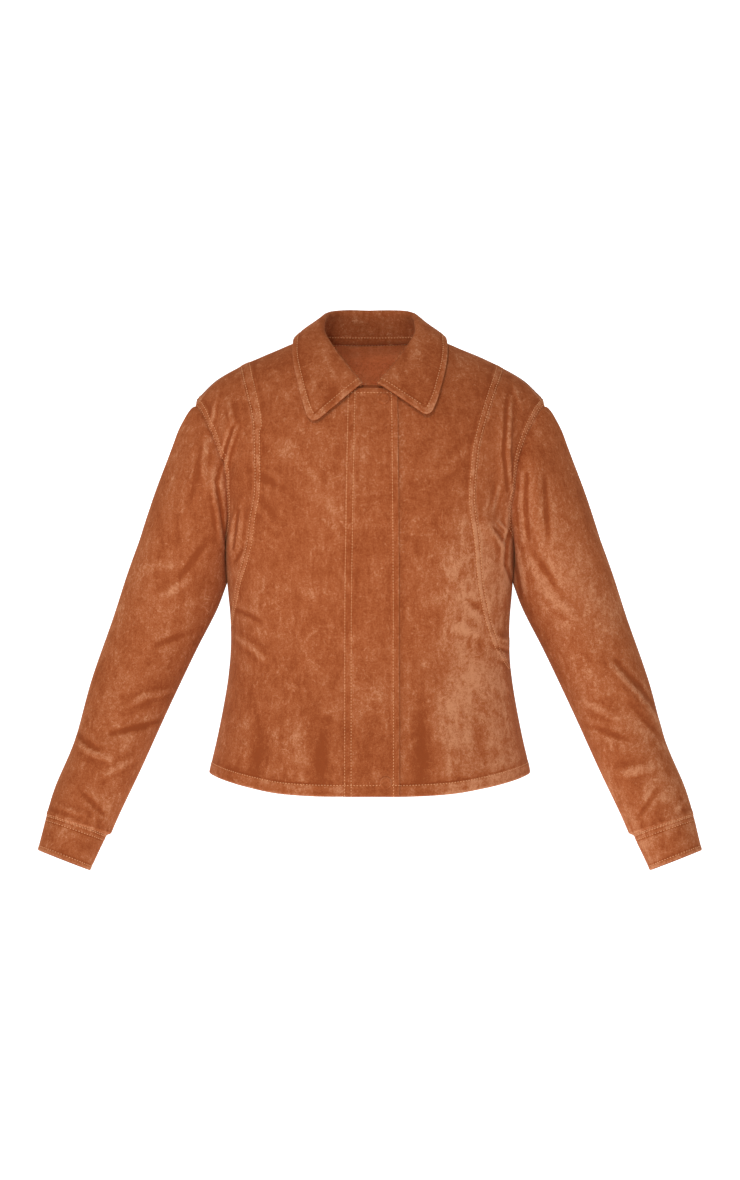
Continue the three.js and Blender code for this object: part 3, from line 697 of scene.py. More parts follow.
@dataclass(frozen=True)
class Track:
    """Line on the cloth that a row of stitches follows."""

    points: Array
    out: Array

    @classmethod
    def beside(cls, sheet: Sheet, distances: Array, away: float, rows: slice = slice(None)) -> "Track":
        """Track across the rows of a sheet at a distance.

        Args:
            sheet: sheet whose rows it crosses.
            distances: distance of each point from the edge, along its row.
            away: distance of the track from the edge.
            rows: rows that the track crosses.

        Returns:
            The track, with one point in each row.
        """
        places, outs = [], []
        for line, out, far in zip(sheet.points[rows], sheet.out[rows], distances[rows]):
            order = np.argsort(far)
            places.append([np.interp(away, far[order], line[order, n]) for n in range(3)])
            outs.append([np.interp(away, far[order], out[order, n]) for n in range(3)])
        return cls(np.array(places), unit(np.array(outs)))

    @classmethod
    def along(cls, sheet: Sheet, distances: Array, away: float, columns: slice = slice(None)) -> "Track":
        """Track across the columns of a sheet at a distance, closed on a tube."""
        flipped = Sheet(sheet.points.swapaxes(0, 1), sheet.out.swapaxes(0, 1))
        track = cls.beside(flipped, distances.T, away, columns)
        if not sheet.closes:
            return track
        return cls(np.vstack([track.points, track.points[:1]]), np.vstack([track.out, track.out[:1]]))


def roll(distance: Array, radius: float) -> Array:
    """Height of a rounded edge at distances from it."""
    share = np.clip(1 - distance / radius, 0, 1)
    return -radius * (1 - np.sqrt(1 - share**2))


def groove(distance: Array, at: float, wide: float, deep: float) -> Array:
    """Height of a soft groove that a row of stitches pulls in."""
    return -deep * np.exp(-(((distance - at) / wide) ** 2))


def band(distance: Array, reach: float, high: float, soft: float = 1.2) -> Array:
    """Height of a band raised by the layers under it, from an edge out to a reach."""
    return high / (1 + np.exp((distance - reach) / soft * 2.2))


def pucker(along: Array, distance: Array, at: float, reach: float, high: float, seed: int) -> Array:
    """Small uneven ripples that a row of stitches leaves across itself.

    Args:
        along: distances along the row.
        distance: distances from the edge.
        at: place of the row.
        reach: how far the ripples run to each side.
        high: height of the ripples.
        seed: start of the random phases.

    Returns:
        Height in millimetres.
    """
    picks = np.random.default_rng(seed)
    ripple = np.zeros(np.shape(along))
    for wave in (9.0, 13.5, 22.0, 41.0):
        length = wave * picks.uniform(0.85, 1.15)
        ripple = ripple + np.sin(2 * math.pi * along / length + picks.uniform(0, 6))
    return high * ripple / 4.5 * np.exp(-(((distance - at) / reach) ** 2))


def rub_and_shade_level(height: Array, reach: int = 4) -> Array:
    """How far each point stands above (to 1) or below (to -1) the cloth around it; above comes out lighter
    as rubbed nap, below darker as painted shade.

    Args:
        height: height of the seams.
        reach: points to each side that count as around.

    Returns:
        Values from -1 to 1.
    """
    around = height
    for axis in (0, 1):
        width = [(reach, reach) if n == axis else (0, 0) for n in (0, 1)]
        wide = np.pad(around, width, mode="edge")
        size = around.shape[axis]
        parts = [np.take(wide, range(n, n + size), axis=axis) for n in range(2 * reach + 1)]
        around = np.mean(parts, axis=0)
    return np.clip((height - around) / 0.3, -1, 1)


class MeshKit:
    """Makes objects from arrays in millimetres."""

    @staticmethod
    def add(
        name: str,
        points: Array,
        faces: Array,
        material: bpy.types.Material,
        inside: bpy.types.Material | None = None,
        within: slice = slice(0, 0),
    ) -> bpy.types.Object:
        """Adds a smooth mesh of quads.

        Args:
            name: name of the piece.
            points: points in millimetres.
            faces: four point numbers for each face.
            material: finish of the piece.
            inside: finish of its inside, such as the lighter suede that paints light into the shaded inside
                of the back.
            within: faces of the inside.

        Returns:
            The new object.
        """
        mesh = bpy.data.meshes.new(name)
        mesh.vertices.add(len(points))
        mesh.vertices.foreach_set("co", (points * MM).astype(np.float32).ravel())
        mesh.loops.add(faces.size)
        mesh.loops.foreach_set("vertex_index", faces.astype(np.int32).ravel())
        mesh.polygons.add(len(faces))
        mesh.polygons.foreach_set("loop_start", np.arange(0, faces.size, 4, dtype=np.int32))
        mesh.materials.append(material)
        if inside:
            mesh.materials.append(inside)
            marks = np.zeros(len(faces), np.int32)
            marks[within] = 1
            mesh.polygons.foreach_set("material_index", marks)
        mesh.update(calc_edges=True)
        mesh.validate()
        mesh.polygons.foreach_set("use_smooth", np.ones(len(mesh.polygons), bool))
        piece = bpy.data.objects.new(name, mesh)
        bpy.context.scene.collection.objects.link(piece)
        return piece

    @staticmethod
    def shell(
        name: str,
        outer: Array,
        inner: Array,
        closes: bool,
        material: bpy.types.Material,
        relief: Array | float = 0.0,
        lit_inside: bpy.types.Material | None = None,
    ) -> bpy.types.Object:
        """Adds a wall between an outer and an inner grid, with rubbed lighter ridges and painted shade in
        its creases, grooves and rolled edges.

        Args:
            name: name of the piece.
            outer: outer grid of points.
            inner: inner grid of points.
            closes: whether the columns close round a tube.
            material: finish of the piece.
            relief: height of the seams over the outer grid; it sets the rubbed lighter ridges and the
                painted shade.
            lit_inside: finish of the inner grid, if it has its own: a lighter suede that paints light into
                the shaded inside.

        Returns:
            The new object.
        """
        rows, columns = outer.shape[:2]
        index = np.arange(rows * columns).reshape(rows, columns)
        ring = np.concatenate([index, index[:, :1]], axis=1) if closes else index
        layer = rows * columns
        a, b, c, d = ring[:-1, :-1], ring[:-1, 1:], ring[1:, 1:], ring[1:, :-1]
        outside = np.stack([a, b, c, d], axis=-1).reshape(-1, 4)
        inside = np.stack([d, c, b, a], axis=-1).reshape(-1, 4) + layer
        rims = []
        for edge in (ring[0], ring[-1][::-1]):
            rims.append(np.stack([edge[:-1], edge[:-1] + layer, edge[1:] + layer, edge[1:]], axis=-1))
        if not closes:
            for edge in (ring[::-1, 0], ring[:, -1]):
                rims.append(np.stack([edge[:-1], edge[:-1] + layer, edge[1:] + layer, edge[1:]], axis=-1))
        points = np.concatenate([outer.reshape(-1, 3), inner.reshape(-1, 3)])
        faces = np.concatenate([outside, inside, *rims])
        corners = points[faces]
        across, along = corners[:, 2] - corners[:, 0], corners[:, 3] - corners[:, 1]
        volume = np.sum(np.cross(across, along) * corners.mean(1))
        within = slice(len(outside), len(outside) + len(inside))
        piece = MeshKit.add(name, points, faces if volume > 0 else faces[:, ::-1], material, lit_inside, within)
        # Points above the cloth around them come out lighter as rubbed nap; points below it, in creases,
        # seam grooves and rolled edges, come out darker as painted shade.
        wear_and_shade = np.zeros(len(points), np.float32)
        wear_and_shade[:layer] = rub_and_shade_level(np.broadcast_to(relief, outer.shape[:2])).ravel()
        piece.data.attributes.new("wear_and_shade", "FLOAT", "POINT").data.foreach_set("value", wear_and_shade)
        return piece


@dataclass(frozen=True)
class StitchRows:
    """Rows of short sewn stitches that lie in their grooves."""

    pitch: float = 3.7
    length: float = 2.3
    radius: float = 0.48
    sink: float = 0.12

    def build(self, name: str, tracks: list[Track], material: bpy.types.Material) -> bpy.types.Object:
        """Adds the stitches of several tracks as one mesh.

        Args:
            name: name of the piece.
            tracks: lines that the stitches follow.
            material: finish of the thread.

        Returns:
            The new object.
        """
        shares = np.array([-0.5, -0.36, -0.12, 0.12, 0.36, 0.5])
        sizes = np.array([0.25, 0.8, 1.0, 1.0, 0.8, 0.25])
        turns = np.arange(6) * math.pi / 3
        points, faces, start = [], [], 0
        for track in tracks:
            length = run(track.points)
            count = int(length[-1] / self.pitch)
            at = (np.arange(count) + 0.5) * length[-1] / max(count, 1)
            where = at[:, None] + shares[None, :] * self.length
            middle = np.stack([np.interp(where, length, track.points[:, n]) for n in range(3)], axis=-1)
            out = unit(np.stack([np.interp(where, length, track.out[:, n]) for n in range(3)], axis=-1))
            ahead = unit(np.gradient(middle, axis=1))
            side = unit(np.cross(ahead, out))
            high = 0.9 * self.radius * sizes - self.sink - self.radius * 0.55
            middle = middle + out * high[None, :, None]
            ring = (
                side[:, :, None] * np.cos(turns)[None, None, :, None]
                + out[:, :, None] * np.sin(turns)[None, None, :, None] * 0.8
            )
            body = middle[:, :, None] + ring * (self.radius * sizes)[None, :, None, None]
            grid = np.arange(len(shares) * 6).reshape(len(shares), 6)
            ring_next = np.roll(grid, -1, axis=1)
            quads = np.stack([grid[:-1], ring_next[:-1], ring_next[1:], grid[1:]], axis=-1).reshape(-1, 4)
            caps = np.array([[0, 5, 4, 3], [0, 3, 2, 1]])
            ends = np.vstack([caps, caps[:, ::-1] + grid[-1, 0]])
            one = np.vstack([quads, ends])
            offsets = start + np.arange(count) * grid.size
            faces.append((one[None] + offsets[:, None, None]).reshape(-1, 4))
            points.append(body.reshape(-1, 3))
            start += count * grid.size
        return MeshKit.add(name, np.concatenate(points), np.concatenate(faces), material)


@dataclass
class Made:
    """A finished piece with its sheet and the tracks of its stitches."""

    piece: bpy.types.Object
    sheet: Sheet
    tracks: list[Track]


@dataclass(frozen=True)
class Cut:
    """Flat cut of a piece of cloth, in metres and square metres."""

    width: float
    length: float
    area: float | None = None


@dataclass
class ClothPiece:
    """Piece of the jacket: its name, the CAD nodes it stands for and its flat cut."""

    name: str
    node: str
    cut: Cut
    held: str
    rests_on: tuple[str, ...]
    slot: str = "suede"

    def declare(self, made: Made) -> Made:
        """Attaches the piece to the root, hides the CAD node that it stands for and logs its faces and area.

        Args:
            made: the finished piece.

        Returns:
            The same piece.
        """
        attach(made.piece, "root")
        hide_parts(self.node)
        LOG.info("%s: %d faces, %.4f m2", self.name, len(made.piece.data.polygons), made.sheet.area())
        return made


def fill(left: Array, right: Array, across: Array, bottom: Array, top: Array) -> Array:
    """Grid of places between four edges. The bends of the top and bottom fade out quickly inside.

    Args:
        left: places up the left edge.
        right: places up the right edge.
        across: shares from left to right.
        bottom: places of the bottom edge at those shares.
        top: places of the top edge at those shares.

    Returns:
        Places in rows and columns.
    """
    up = ((right[:, 1] - right[0, 1]) / (right[-1, 1] - right[0, 1]))[:, None, None]
    share = across[None, :, None]
    plain = left[:, None] + (right[:, None] - left[:, None]) * share
    low = bottom[None] - (left[0] + (right[0] - left[0]) * share)
    high = top[None] - (left[-1] + (right[-1] - left[-1]) * share)
    return plain + low * (1 - up) ** EDGE_FADE + high * up**EDGE_FADE


@dataclass
class BodyPiece(ClothPiece):
    """Piece of the body cut on the body form."""

    step: float = 2.8
    # Lighter suede for the inner faces, painted light for the shaded inside.
    lit_inside: bpy.types.Material | None = None

    def finish(
        self, places: Array, face: Face, height: "Callable[[Sheet], Array]", finish: bpy.types.Material
    ) -> tuple[bpy.types.Object, Sheet]:
        """Makes the wall over places.

        Args:
            places: places of the grid.
            face: face that the piece lies on.
            height: gives the height of the seams over the plain sheet.
            finish: material.

        Returns:
            The object and its outer sheet.
        """
        plain = Sheet.over(BODY.cloth(face, places), BODY.normal(face, places))
        up = height(plain)
        outer = plain.raised(up)
        inner = plain.moved(-CLOTH)
        x, z = plain.points[..., 0], plain.points[..., 2]
        # Crease troughs and seam grooves come out darker as painted shade; ridges lighter as rubbed nap.
        relief = up + CREASE_RUB_AND_SHADE * total(BODY_CREASES, face.toward, x, z)
        return MeshKit.shell(self.name, outer.points, inner, False, finish, relief, self.lit_inside), outer


@dataclass
class Front(BodyPiece):
    """Front between the front edge and the curved seam, down to the hem."""

    side: Side = Side.LEFT
    seam_rows: tuple[float, float] = (2.2, 9.4)
    hem_row: float = 15.0

    def places(self) -> tuple[Array, int]:
        """Places of the grid as if on the right, and the row where the curved seam starts."""
        hem = HEM_SIDE_Z - CHEST_Z
        seam = BODY.seam(self.side)
        reach = seam[0, 1] - hem
        levels = hem + spaced(reach, self.step, end=False)
        length = run(BODY.point(Face.FRONT, seam[:, 0], seam[:, 1]))[-1]
        curved = BODY.even(Face.FRONT, seam, spaced(length, self.step, start=False) / length)
        right = np.concatenate([np.stack([np.ones(len(levels)), levels], -1)[:-1], curved])
        edge_x = self.side.value * FRONT_EDGE_X
        across = landed(spaced(210.0, self.step) / 210.0, 0.5)
        corner = BODY.place(Face.FRONT, edge_x, HEM_FRONT_Z)
        low = table(FRONT_HEM, 1)(across) - CHEST_Z
        bottom = np.stack([corner[0] + across * (1 - corner[0]), low], axis=-1)
        start = math.copysign(BODY.neck_share(abs(edge_x)), edge_x)
        at = start + np.minimum(across * 2, 1) * (1 - start)
        neck = BODY.neck(Face.FRONT, np.abs(at))
        neck[:, 0] *= np.sign(at)
        seam_x = FRONT_SEAMS[self.side][-1][1]
        shoulder = BODY.shoulder_places(NECK_HALF + (across - 0.5) * 2 * (seam_x - NECK_HALF))
        top = np.where((across <= 0.5)[:, None], neck, shoulder)
        right[-1] = top[-1]
        share = (right[:, 1] - hem) / (right[-1, 1] - hem)
        level = bottom[0, 1] + share * (top[0, 1] - bottom[0, 1])
        left = np.stack([BODY.around_at(np.full(len(level), edge_x), level), level], -1)
        return fill(left, right, across, bottom, top), len(levels) - 1

    def second_row(self, sheet: Sheet) -> Array:
        """Distance of the second stitch row from the curved seam, wider at the top of the left front."""
        upper = 1 / (1 + np.exp(-(sheet.points[..., 2] + WIDE_ROW_Z) / 1.5))
        return self.seam_rows[1] + (WIDE_ROW * upper if self.side is Side.LEFT else 0)

    def build(self, finish: bpy.types.Material) -> Made:
        """Builds the front.

        Args:
            finish: material.

        Returns:
            The finished piece.
        """
        grid, start = self.places()
        grid = grid * [self.side.value, 1]
        sewn = 1 / (1 + np.exp(-(np.arange(len(grid)) - start - 3) / 1.5))[:, None]

        def height(sheet: Sheet) -> Array:
            """Height of the seams of the front."""
            edge, seam = sheet.from_columns()
            hem, top = sheet.from_rows()
            second = self.second_row(sheet)
            along = sheet.points[..., 2]
            up = roll(seam, 0.7) + roll(edge, 1.0) + roll(hem, 1.6) + roll(top, 0.8)
            up = up + sewn * band(seam, second + 1.5, 0.55)
            up = up + sewn * (groove(seam, self.seam_rows[0], 0.9, 0.45) + groove(seam, 0, 0.8, 0.2))
            up = up - sewn * 0.5 * np.exp(-(((seam - second) / 0.9) ** 2))
            up = up + sewn * pucker(along, seam, 6.0, 9.0, 0.16, 21 + self.side.value)
            up = up + groove(hem, self.hem_row, 1.0, 0.55) + band(hem, self.hem_row, 0.35, 1.5)
            return up + pucker(sheet.points[..., 0], hem, self.hem_row, 8.0, 0.2, 31 + self.side.value)

        piece, outer = self.finish(grid, Face.FRONT, height, finish)
        _, seam = outer.from_columns()
        hem, _ = outer.from_rows()
        rows = slice(start + 2, None)
        scaled = seam - (self.second_row(outer) - self.seam_rows[1])
        tracks = [
            Track.beside(outer, seam, self.seam_rows[0], rows),
            Track.beside(outer, scaled, self.seam_rows[1], rows),
            Track.along(outer, hem, self.hem_row),
        ]
        return self.declare(Made(piece, outer, tracks))


@dataclass
class SideFront(BodyPiece):
    """Side of the front between the curved seam and the armhole, ending at the side seam."""

    side: Side = Side.LEFT
    armhole_rows: tuple[float, float] = (2.2, 8.2)
    step: float = 1.5

    def build(self, finish: bpy.types.Material) -> Made:
        """Builds the side front.

        Args:
            finish: material.

        Returns:
            The finished piece.
        """
        seam = BODY.seam(self.side)
        underarm = UNDERARM_Z - CHEST_Z
        lower = seam[seam[:, 1] <= underarm]
        upper = np.concatenate([lower[-1:], seam[seam[:, 1] > underarm]])
        low_shares = spaced(120.0, self.step, False, False) / 120.0
        high_shares = spaced(260.0, self.step, False, True) / 260.0
        left = np.concatenate(
            [BODY.even(Face.FRONT, lower, low_shares), BODY.even(Face.FRONT, upper, high_shares)[1:]]
        )
        levels = seam[0, 1] + low_shares * (underarm - seam[0, 1])
        hole = BODY.even(Face.FRONT, BODY.armhole(Face.FRONT, 200), high_shares)
        right = np.concatenate([np.stack([np.ones(len(levels)), levels], -1), hole[1:]])
        across = spaced(56.0, self.step) / 56.0
        bottom = left[0] + across[:, None] * (np.array([1.0, seam[0, 1]]) - left[0])
        seam_x = FRONT_SEAMS[self.side][-1][1]
        top = BODY.shoulder_places(seam_x + across * (ARMHOLE[0][1] - seam_x))
        left[-1], right[-1] = top[0], top[-1]
        grid = fill(left, right, across, bottom, top) * [self.side.value, 1]
        sewn = 1 / (1 + np.exp(-(np.arange(len(grid)) - len(low_shares)) / 2.0))[:, None]

        def height(sheet: Sheet) -> Array:
            """Height of the seams of the side front."""
            seam_far, hole_far = sheet.from_columns()
            low, high = sheet.from_rows()
            along = sheet.points[..., 2]
            up = roll(seam_far, 0.7) + roll(hole_far, 0.3) + roll(high, 0.8) + roll(low, 0.6)
            up = up + sewn * band(hole_far, self.armhole_rows[1] + 1.5, 0.5)
            for row in self.armhole_rows:
                up = up + sewn * groove(hole_far, row, 0.9, 0.45)
            up = up + sewn * pucker(along, hole_far, 5.0, 8.0, 0.2, 41 + self.side.value)
            return np.maximum(up, -1.4)

        piece, outer = self.finish(grid, Face.FRONT, height, finish)
        _, hole_far = outer.from_columns()
        rows = slice(len(low_shares) + 1, None)
        tracks = [Track.beside(outer, hole_far, row, rows) for row in self.armhole_rows]
        return self.declare(Made(piece, outer, tracks))


@dataclass
class Back(BodyPiece):
    """Whole back, from side seam to side seam."""

    armhole_rows: tuple[float, float] = (2.2, 8.2)
    hem_row: float = 15.0

    def build(self, finish: bpy.types.Material) -> Made:
        """Builds the back.

        Args:
            finish: material.

        Returns:
            The finished piece.
        """
        hem = HEM_SIDE_Z - CHEST_Z
        underarm = UNDERARM_Z - CHEST_Z
        levels = hem + spaced(underarm - hem, self.step, end=False)
        shares = spaced(255.0, self.step, start=False) / 255.0
        hole = BODY.even(Face.BACK, BODY.armhole(Face.BACK, 200), shares)
        right = np.concatenate([np.stack([np.ones(len(levels)), levels], -1), hole[1:]])
        right[-1] = BODY.shoulder_places(np.array([ARMHOLE[0][1]]))[0]
        left = right * [-1, 1]
        across = landed(spaced(480.0, self.step) / 480.0, 0.25, 0.75)
        middle = 2 * across - 1
        far = np.abs(middle)
        neck = BODY.neck(Face.BACK, np.minimum(far * 2, 1))
        shoulder = BODY.shoulder_places(NECK_HALF + (far * 2 - 1) * (ARMHOLE[0][1] - NECK_HALF))
        top = np.where((far <= 0.5)[:, None], neck, shoulder)
        top[:, 0] *= np.where(middle < 0, -1, 1)
        drop = (1 - middle**2) * (HEM_BACK_Z - HEM_SIDE_Z)
        bottom = np.stack([middle, hem + drop], -1)
        grid = fill(left, right, across, bottom, top)
        sewn = 1 / (1 + np.exp(-(np.arange(len(grid)) - len(levels)) / 2.0))[:, None]

        def height(sheet: Sheet) -> Array:
            """Height of the seams of the back."""
            one, two = sheet.from_columns()
            hem_far, top_far = sheet.from_rows()
            x, z = sheet.points[..., 0], sheet.points[..., 2]
            up = roll(hem_far, 1.6) + roll(top_far, 1.2)
            for far_side in (one, two):
                up = up + roll(far_side, 0.5) + sewn * band(far_side, self.armhole_rows[1] + 1.5, 0.5)
                for row in self.armhole_rows:
                    up = up + sewn * groove(far_side, row, 0.9, 0.45)
                up = up + sewn * pucker(z, far_side, 5.0, 8.0, 0.2, 51)
            up = up + groove(hem_far, self.hem_row, 1.0, 0.55) + band(hem_far, self.hem_row, 0.35, 1.5)
            up = up + groove(top_far, 2.6, 0.9, 0.4)
            return up + pucker(x, hem_far, self.hem_row, 8.0, 0.2, 61)

        piece, outer = self.finish(grid, Face.BACK, height, finish)
        one, two = outer.from_columns()
        hem_far, top_far = outer.from_rows()
        rows = slice(len(levels) + 1, None)
        tracks = [Track.beside(outer, far, row, rows) for far in (one, two) for row in self.armhole_rows]
        tracks.append(Track.along(outer, hem_far, self.hem_row))
        tracks.append(Track.along(outer, top_far, 2.6))
        return self.declare(Made(piece, outer, tracks))


@dataclass
class NeckFacing(ClothPiece):
    """Strip that covers the neck seam inside the back."""

    reach: float = 0.3
    rise: float = 6.4
    drop: float = 4.6

    def upper(self, collar: Made, seam: Array) -> tuple[Array, Array]:
        """Rows of the strip on the collar's stand.

        Args:
            collar: the finished collar.
            seam: points along the neck seam.

        Returns:
            Points of the stand and directions into the neck.
        """
        foot, _ = collar.sheet.from_columns()
        places = run(seam) - run(seam)[len(seam) // 2]
        points, outs = [], []
        for high in np.linspace(self.rise, 1.0, 7):
            line = Track.beside(collar.sheet, foot, high)
            along = run(line.points)
            along = along - np.interp(0.0, line.points[:, 0], along)
            points.append(np.stack([np.interp(places, along, line.points[:, n]) for n in range(3)], 1))
            outs.append(np.stack([np.interp(places, along, line.out[:, n]) for n in range(3)], 1))
        return np.array(points), unit(np.array(outs))

    def build(self, back: Made, collar: Made, finish: bpy.types.Material) -> Made:
        """Builds the strip over the seam of the collar and the back.

        Args:
            back: the finished back.
            collar: the finished collar.
            finish: material.

        Returns:
            The finished piece.
        """
        _, far = back.sheet.from_rows()
        count = back.sheet.points.shape[1]
        reach = int(count * self.reach / 2)
        columns = slice(count // 2 - reach, count // 2 + reach + 1)
        rows = [Track.along(back.sheet, far, depth, columns) for depth in np.linspace(1.2, self.drop, 5)]
        lower = np.array([row.points for row in rows])
        out = np.array([row.out for row in rows])
        stand, into = self.upper(collar, lower[0])
        lower = lower - out * (CLOTH + 2 * LAY_GAP + 0.4)
        points = np.concatenate([stand + into * 2 * LAY_GAP, lower])
        inside = Sheet.over(points, np.concatenate([into, -out]))
        low, high = inside.from_rows()
        up = roll(low, 0.8) + roll(high, 0.8) + groove(high, 1.5, 0.7, 0.3) + groove(low, 1.5, 0.7, 0.3)
        outer = inside.raised(up + 0.5)
        relief = 0.3 * np.exp(-((np.minimum(low, high) / 1.4) ** 2))
        under = inside.moved(-FACING_CLOTH + 0.6)
        piece = MeshKit.shell(self.name, outer.points, under, False, finish, relief)
        high_far, low_far = outer.from_rows()
        return self.declare(
            Made(piece, outer, [Track.along(outer, high_far, 1.5), Track.along(outer, low_far, 1.5)])
        )


class TubeForm:
    """Tube through a table of sections: outer x and z, inner x and z, middle y, depth."""

    def __init__(self, rows: list[tuple[float, ...]]) -> None:
        """Reads the sections.

        Args:
            rows: the section table.
        """
        self.last = len(rows) - 1
        keys = list(range(len(rows)))
        self.columns = [Curve(keys, [row[n] for row in rows]) for n in range(6)]

    def at(self, share: float) -> tuple[Array, Array, float]:
        """Outer point, inner point and depth of the section at a share of the length."""
        outer_x, outer_z, inner_x, inner_z, y, depth = [float(c(share * self.last)) for c in self.columns]
        return np.array([outer_x, y, outer_z]), np.array([inner_x, y, inner_z]), depth

    def middle(self, share: float) -> Array:
        """Middle of the section at a share of the length."""
        outer, inner, _ = self.at(share)
        return (outer + inner) / 2

    def ring(self, share: float, turns: Array) -> Array:
        """Points round the section at a share of the length.

        Args:
            share: share of the length.
            turns: angles from the outer point over the front.

        Returns:
            One point for each angle.
        """
        outer, inner, depth = self.at(share)
        axis = self.middle(min(share + 0.05, 1)) - self.middle(max(share - 0.05, 0))
        across = (outer - inner) / 2
        deep = unit(np.cross(unit(axis), across))
        deep = deep * (-1 if deep[1] > 0 else 1) * depth / 2
        return self.middle(share) + np.cos(turns)[:, None] * across + np.sin(turns)[:, None] * deep


@dataclass
class ArmLoop:
    """Edge of an armhole from the shoulder point down the front and up the back, as if on the right."""

    side: Side
    steps: int = 72

    def __post_init__(self) -> None:
        """Works out the points and their turns round the sleeve."""
        halves = []
        for face in (Face.FRONT, Face.BACK):
            places = BODY.armhole(face, self.steps)[::-1] * [self.side.value, 1]
            halves.append(BODY.cloth(face, places) * [self.side.value, 1, 1])
        front, back = halves[0], halves[1][::-1]
        self.points = np.concatenate([front, back[1:-1]])
        first, second = run(front), run(back)
        self.turns = np.concatenate([first / first[-1], 1 + second[1:-1] / second[-1]]) * math.pi


@dataclass
class Sleeve(ClothPiece):
    """Sleeve from the armhole to the cuff seam."""

    side: Side = Side.LEFT
    step: float = 2.4
    end_row: float = 2.6

    def rings(self) -> tuple[Array, Array, Array]:
        """Rings of the plain sleeve as if on the right, with their turns and how free each ring is."""
        loop = ArmLoop(self.side)
        form = TubeForm(SLEEVE_SECTIONS)
        head = table(SLEEVE_HEAD, 1)
        first = form.ring(0, loop.turns)
        middle = loop.points.mean(axis=0)
        low = (1 - np.cos(loop.turns)) / 2
        rings, free = [], []
        for share in spaced(112.0, self.step, True, False) / 112.0:
            centre = middle + (form.middle(0) - middle) * share
            at = loop.points + (first - loop.points) * share
            swell = math.sin(share * math.pi)
            at = at + unit(at - centre) * (float(head(share)) * (1 - low))[:, None]
            at[:, 0] += UNDERARM_PUSH * swell * low
            rings.append(at)
            free.append(min(share * HEAD_ROWS / 2, 1))
        for share in (spaced(352.0, self.step, False, True) / 352.0)[1:]:
            rings.append(form.ring(share, loop.turns))
            free.append(min((1 - share) * SLEEVE_ROWS / 2, 1))
        below = TubeForm(CUFF_SECTIONS).ring(0.02, loop.turns)
        below = below + (below.mean(axis=0) - below) * 0.03
        for share in (0.25, 0.5, 0.75, 1.0):
            rings.append(rings[-1] + (below - rings[-1]) * share)
            free.append(0.0)
        return np.array(rings), loop.turns, np.array(free)

    def build(self, finish: bpy.types.Material) -> Made:
        """Builds the sleeve.

        Args:
            finish: material.

        Returns:
            The finished piece.
        """
        rings, turns, free = self.rings()
        sign = self.side.value
        out = rings - rings.mean(axis=1, keepdims=True)
        plain = Sheet.over(rings, out, True)
        x, z = sign * rings[..., 0], rings[..., 2]
        facing = np.abs(np.sin(turns))[None, :]
        heights, small = [], []
        quick = np.minimum(free * 4, 1)[:, None]
        for face in (-1, 1):
            large = total(SLEEVE_FOLDS, face, x, z) * facing
            swell = waves(11 + face + 2 * sign, x, z, 80.0, 0.7) * facing
            small.append(total(SLEEVE_CREASES, face, x, z) * facing**0.5 * quick)
            heights.append((large + swell) * free[:, None] + small[-1])
        over_front = (np.sin(turns) > 0)[None, :]
        crease = np.where(over_front, small[0], small[1])
        folded = plain.raised(np.where(over_front, heights[0], heights[1]))
        folded = Sheet(folded.points * [sign, 1, 1], folded.out * [sign, 1, 1], True)
        start, end = folded.from_rows()
        around = np.minimum(*self.round_from_seam(folded))
        up = roll(start, 0.3) + roll(end, 1.2) + band(end, 7.0, 0.35, 1.5)
        up = up + groove(end, self.end_row, 0.9, 0.4) + groove(around, 0, 1.2, 0.7)
        up = up + pucker(turns[None, :] * 50, start, 3.0, 9.0, 0.2, 71)
        up = up + pucker(turns[None, :] * 42, end, 6.0, 9.0, 0.22, 81)
        outer = folded.raised(up)
        # Crease troughs and seam grooves come out darker as painted shade; ridges lighter as rubbed nap.
        relief = up + CREASE_RUB_AND_SHADE * crease
        piece = MeshKit.shell(self.name, outer.points, folded.moved(-CLOTH), True, finish, relief)
        _, end = outer.from_rows()
        return self.declare(Made(piece, outer, [Track.along(outer, end, self.end_row)]))

    @staticmethod
    def round_from_seam(sheet: Sheet) -> tuple[Array, Array]:
        """Distances both ways round a tube from its inner seam."""
        half = sheet.points.shape[1] // 2
        turned = Sheet(np.roll(sheet.points, -half, axis=1), sheet.out)
        first, last = turned.from_columns()
        return np.roll(first, half, axis=1), np.roll(last, half, axis=1)


@dataclass
class Cuff(ClothPiece):
    """Cuff, a double band below the sleeve."""

    side: Side = Side.LEFT
    rows: tuple[float, float] = (2.2, 7.6)
    end_row: float = 6.2

    def build(self, finish: bpy.types.Material) -> Made:
        """Builds the cuff.

        Args:
            finish: material.

        Returns:
            The finished piece.
        """
        loop = ArmLoop(self.side)
        form = TubeForm(CUFF_SECTIONS)
        rings = np.array([form.ring(share, loop.turns) for share in spaced(45.0, 2.0) / 45.0])
        sign = self.side.value
        plain = Sheet.over(rings * [sign, 1, 1], (rings - rings.mean(1, keepdims=True)) * [sign, 1, 1], True)
        start, end = plain.from_rows()
        around = np.minimum(*Sleeve.round_from_seam(plain))
        x, z = plain.points[..., 0], plain.points[..., 2]
        up = roll(start, 1.2) + roll(end, 1.3) + band(end, self.end_row, 0.25) + groove(around, 0, 1.1, 0.7)
        up = up + groove(end, self.end_row, 0.9, 0.45) + waves(91 + sign, x, z, 42.0, 0.3)
        for row in self.rows:
            up = up + groove(start, row, 0.9, 0.4)
        up = up + pucker(loop.turns[None, :] * 38, start, 5.0, 7.0, 0.16, 93)
        outer = plain.raised(up)
        piece = MeshKit.shell(self.name, outer.points, plain.moved(-CUFF_CLOTH), True, finish, up)
        start, end = outer.from_rows()
        tracks = [Track.along(outer, start, row) for row in self.rows]
        tracks.append(Track.along(outer, end, self.end_row))
        return self.declare(Made(piece, outer, tracks))


